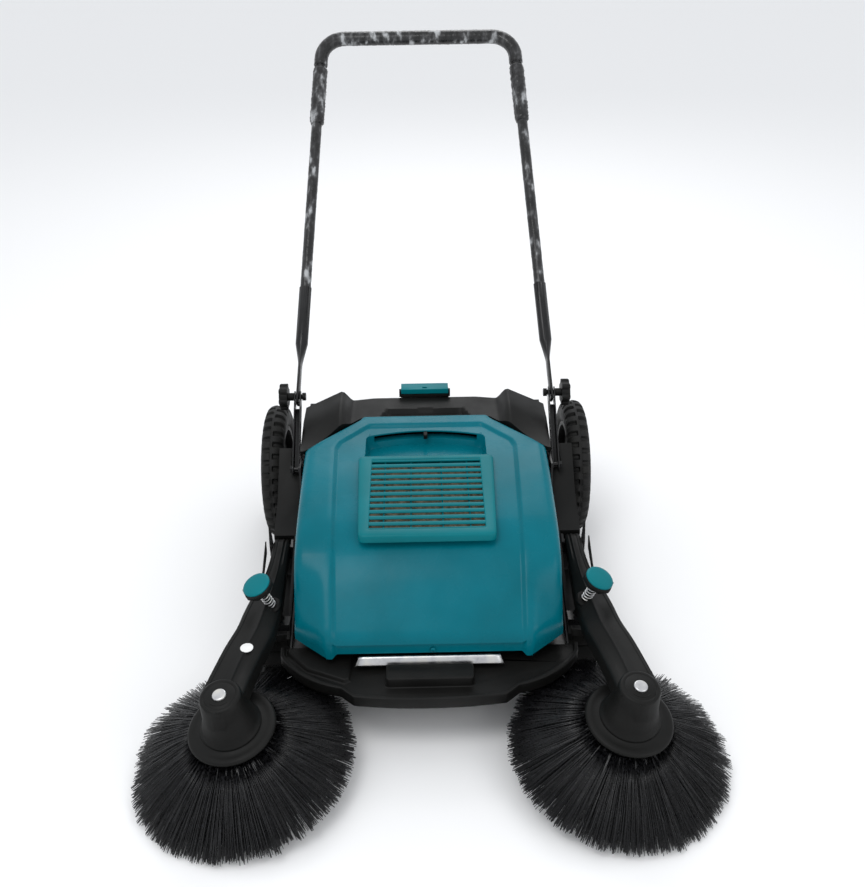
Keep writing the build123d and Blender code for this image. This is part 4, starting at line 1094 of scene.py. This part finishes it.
def make_handle():
    """Film-wrapped upper tube with its foam grip and sleeves."""
    bm = bmesh.new()
    add_tube(bm, handle_path(FILM_START), crinkle(0.0110, 0.0009, 3.0), 20)
    add_piece("handle_upper_tube_wrapped", bm, "handle", "black_steel",
              ("handle_upper_tube",), FILM)

    bm = bmesh.new()
    add_tube(bm, handle_path(GRIP_START, 0.003), crinkle(0.0148, 0.0011, 8.0), 24)
    grip = add_piece("handle_grip_foam", bm, "handle", "foam", ("handle_grip",), FILM)

    for side, sign in SIDES:
        bm = bmesh.new()
        points = [handle_point(SLEEVE_START + SLEEVE_LENGTH * k / SLEEVE_RINGS, sign)
                  for k in range(SLEEVE_RINGS + 1)]

        def swell(share, angle, base=crinkle(0.0150, 0.0028, 20.0 * sign)):
            ends = smoothstep(0, 0.05, share) * (1 - smoothstep(0.95, 1, share))
            return base(share * 0.35, angle) - 0.003 * (1 - ends)
        add_tube(bm, points, swell, 24)
        sleeve = add_piece(f"handle_sleeve_{side}_foam", bm, "handle", "foam", (), FILM)
        if sign > 0:
            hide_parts("handle_sleeves")


# ============ height screws, in metres
CAP_LOW = 0.074  # underside of the cap above the screw's foot
SPRING_TURNS, SPRING_WIRE, SPRING_RADIUS = 8.5, 0.0013, 0.0078
SPRING_LOW, SPRING_HIGH = 0.0105, CAP_LOW - 0.011
CAP_PROFILE = [(0.0, 0.0045), (0.010, 0.0044), (0.019, 0.0040), (0.0232, 0.0033),
               (0.0243, 0.0020), (0.0243, 0.0), (0.0, 0.0)]


def knob_frame(sign):
    """Foot and axis of a height screw."""
    record = JOINTS["height_left_turn" if sign > 0 else "height_right_turn"]
    axis = Vector(record["axis"]).normalized()
    return Vector(record["pos_m"]), axis


def make_height_screw(side, sign):
    """Zinc coil spring and the domed teal cap of the knob."""
    origin, axis = knob_frame(sign)
    across, up = axis_frame(axis)
    bm = bmesh.new()
    steps = int(SPRING_TURNS * 20)
    points = []
    for k in range(steps + 1):
        angle = 2 * math.pi * SPRING_TURNS * k / steps
        height = SPRING_LOW + (SPRING_HIGH - SPRING_LOW) * k / steps
        points.append(origin + axis * height
                      + (across * math.cos(angle) + up * math.sin(angle)) * SPRING_RADIUS)
    add_tube(bm, points, SPRING_WIRE, 8)
    add_piece(f"height_spring_{side}_coil", bm, f"arm_{side}", "zinc_steel",
              (f"height_spring_{side}",))

    bm = bmesh.new()
    profile = [(r, CAP_LOW + h) for r, h in CAP_PROFILE]
    revolve(bm, origin, axis, profile, 64)
    add_piece(f"height_screw_cap_{side}_disc", bm, f"height_knob_{side}", "teal_trim",
              (f"height_screw_cap_{side}",))


# ============ assembly
# CAD nodes shown with rounded edges, and the width of the rounding
ROUNDED_NODES = {
    "front_bumper": 0.0032, "side_fender_left": 0.004, "side_fender_right": 0.004,
    "wheel_rim_left": 0.001, "wheel_rim_right": 0.001, "height_screw_left": 0.0012,
    "height_screw_right": 0.0012, "clamp_knob_left": 0.0012, "clamp_knob_right": 0.0012,
    "bin_latch": 0.0015, "latch_base": 0.001, "dust_bin": 0.002, "handle_brackets": 0.0005,
    "handle_lower_tubes": 0.0006,
}


def paint_frame():
    """Give every CAD node that still shows its slot's material."""
    for name, node in frame["nodes"].items():
        node.data.materials.clear()
        node.data.materials.append(MATERIALS[NODE_SLOT[name]])


make_camera()
make_studio()
paint_frame()
make_cover()
make_cover_details()
make_grille()
make_filter()
make_side_flaps()
for side, sign in SIDES:
    make_tyre(side, sign)
    make_side_brush(side, sign)
    make_height_screw(side, sign)
    make_arm(side, sign)
make_rear_housing()
make_hinge_strip()
make_blank_dot()
make_roller()
make_handle()
for node, width in ROUNDED_NODES.items():
    moulded_copy(node, width)
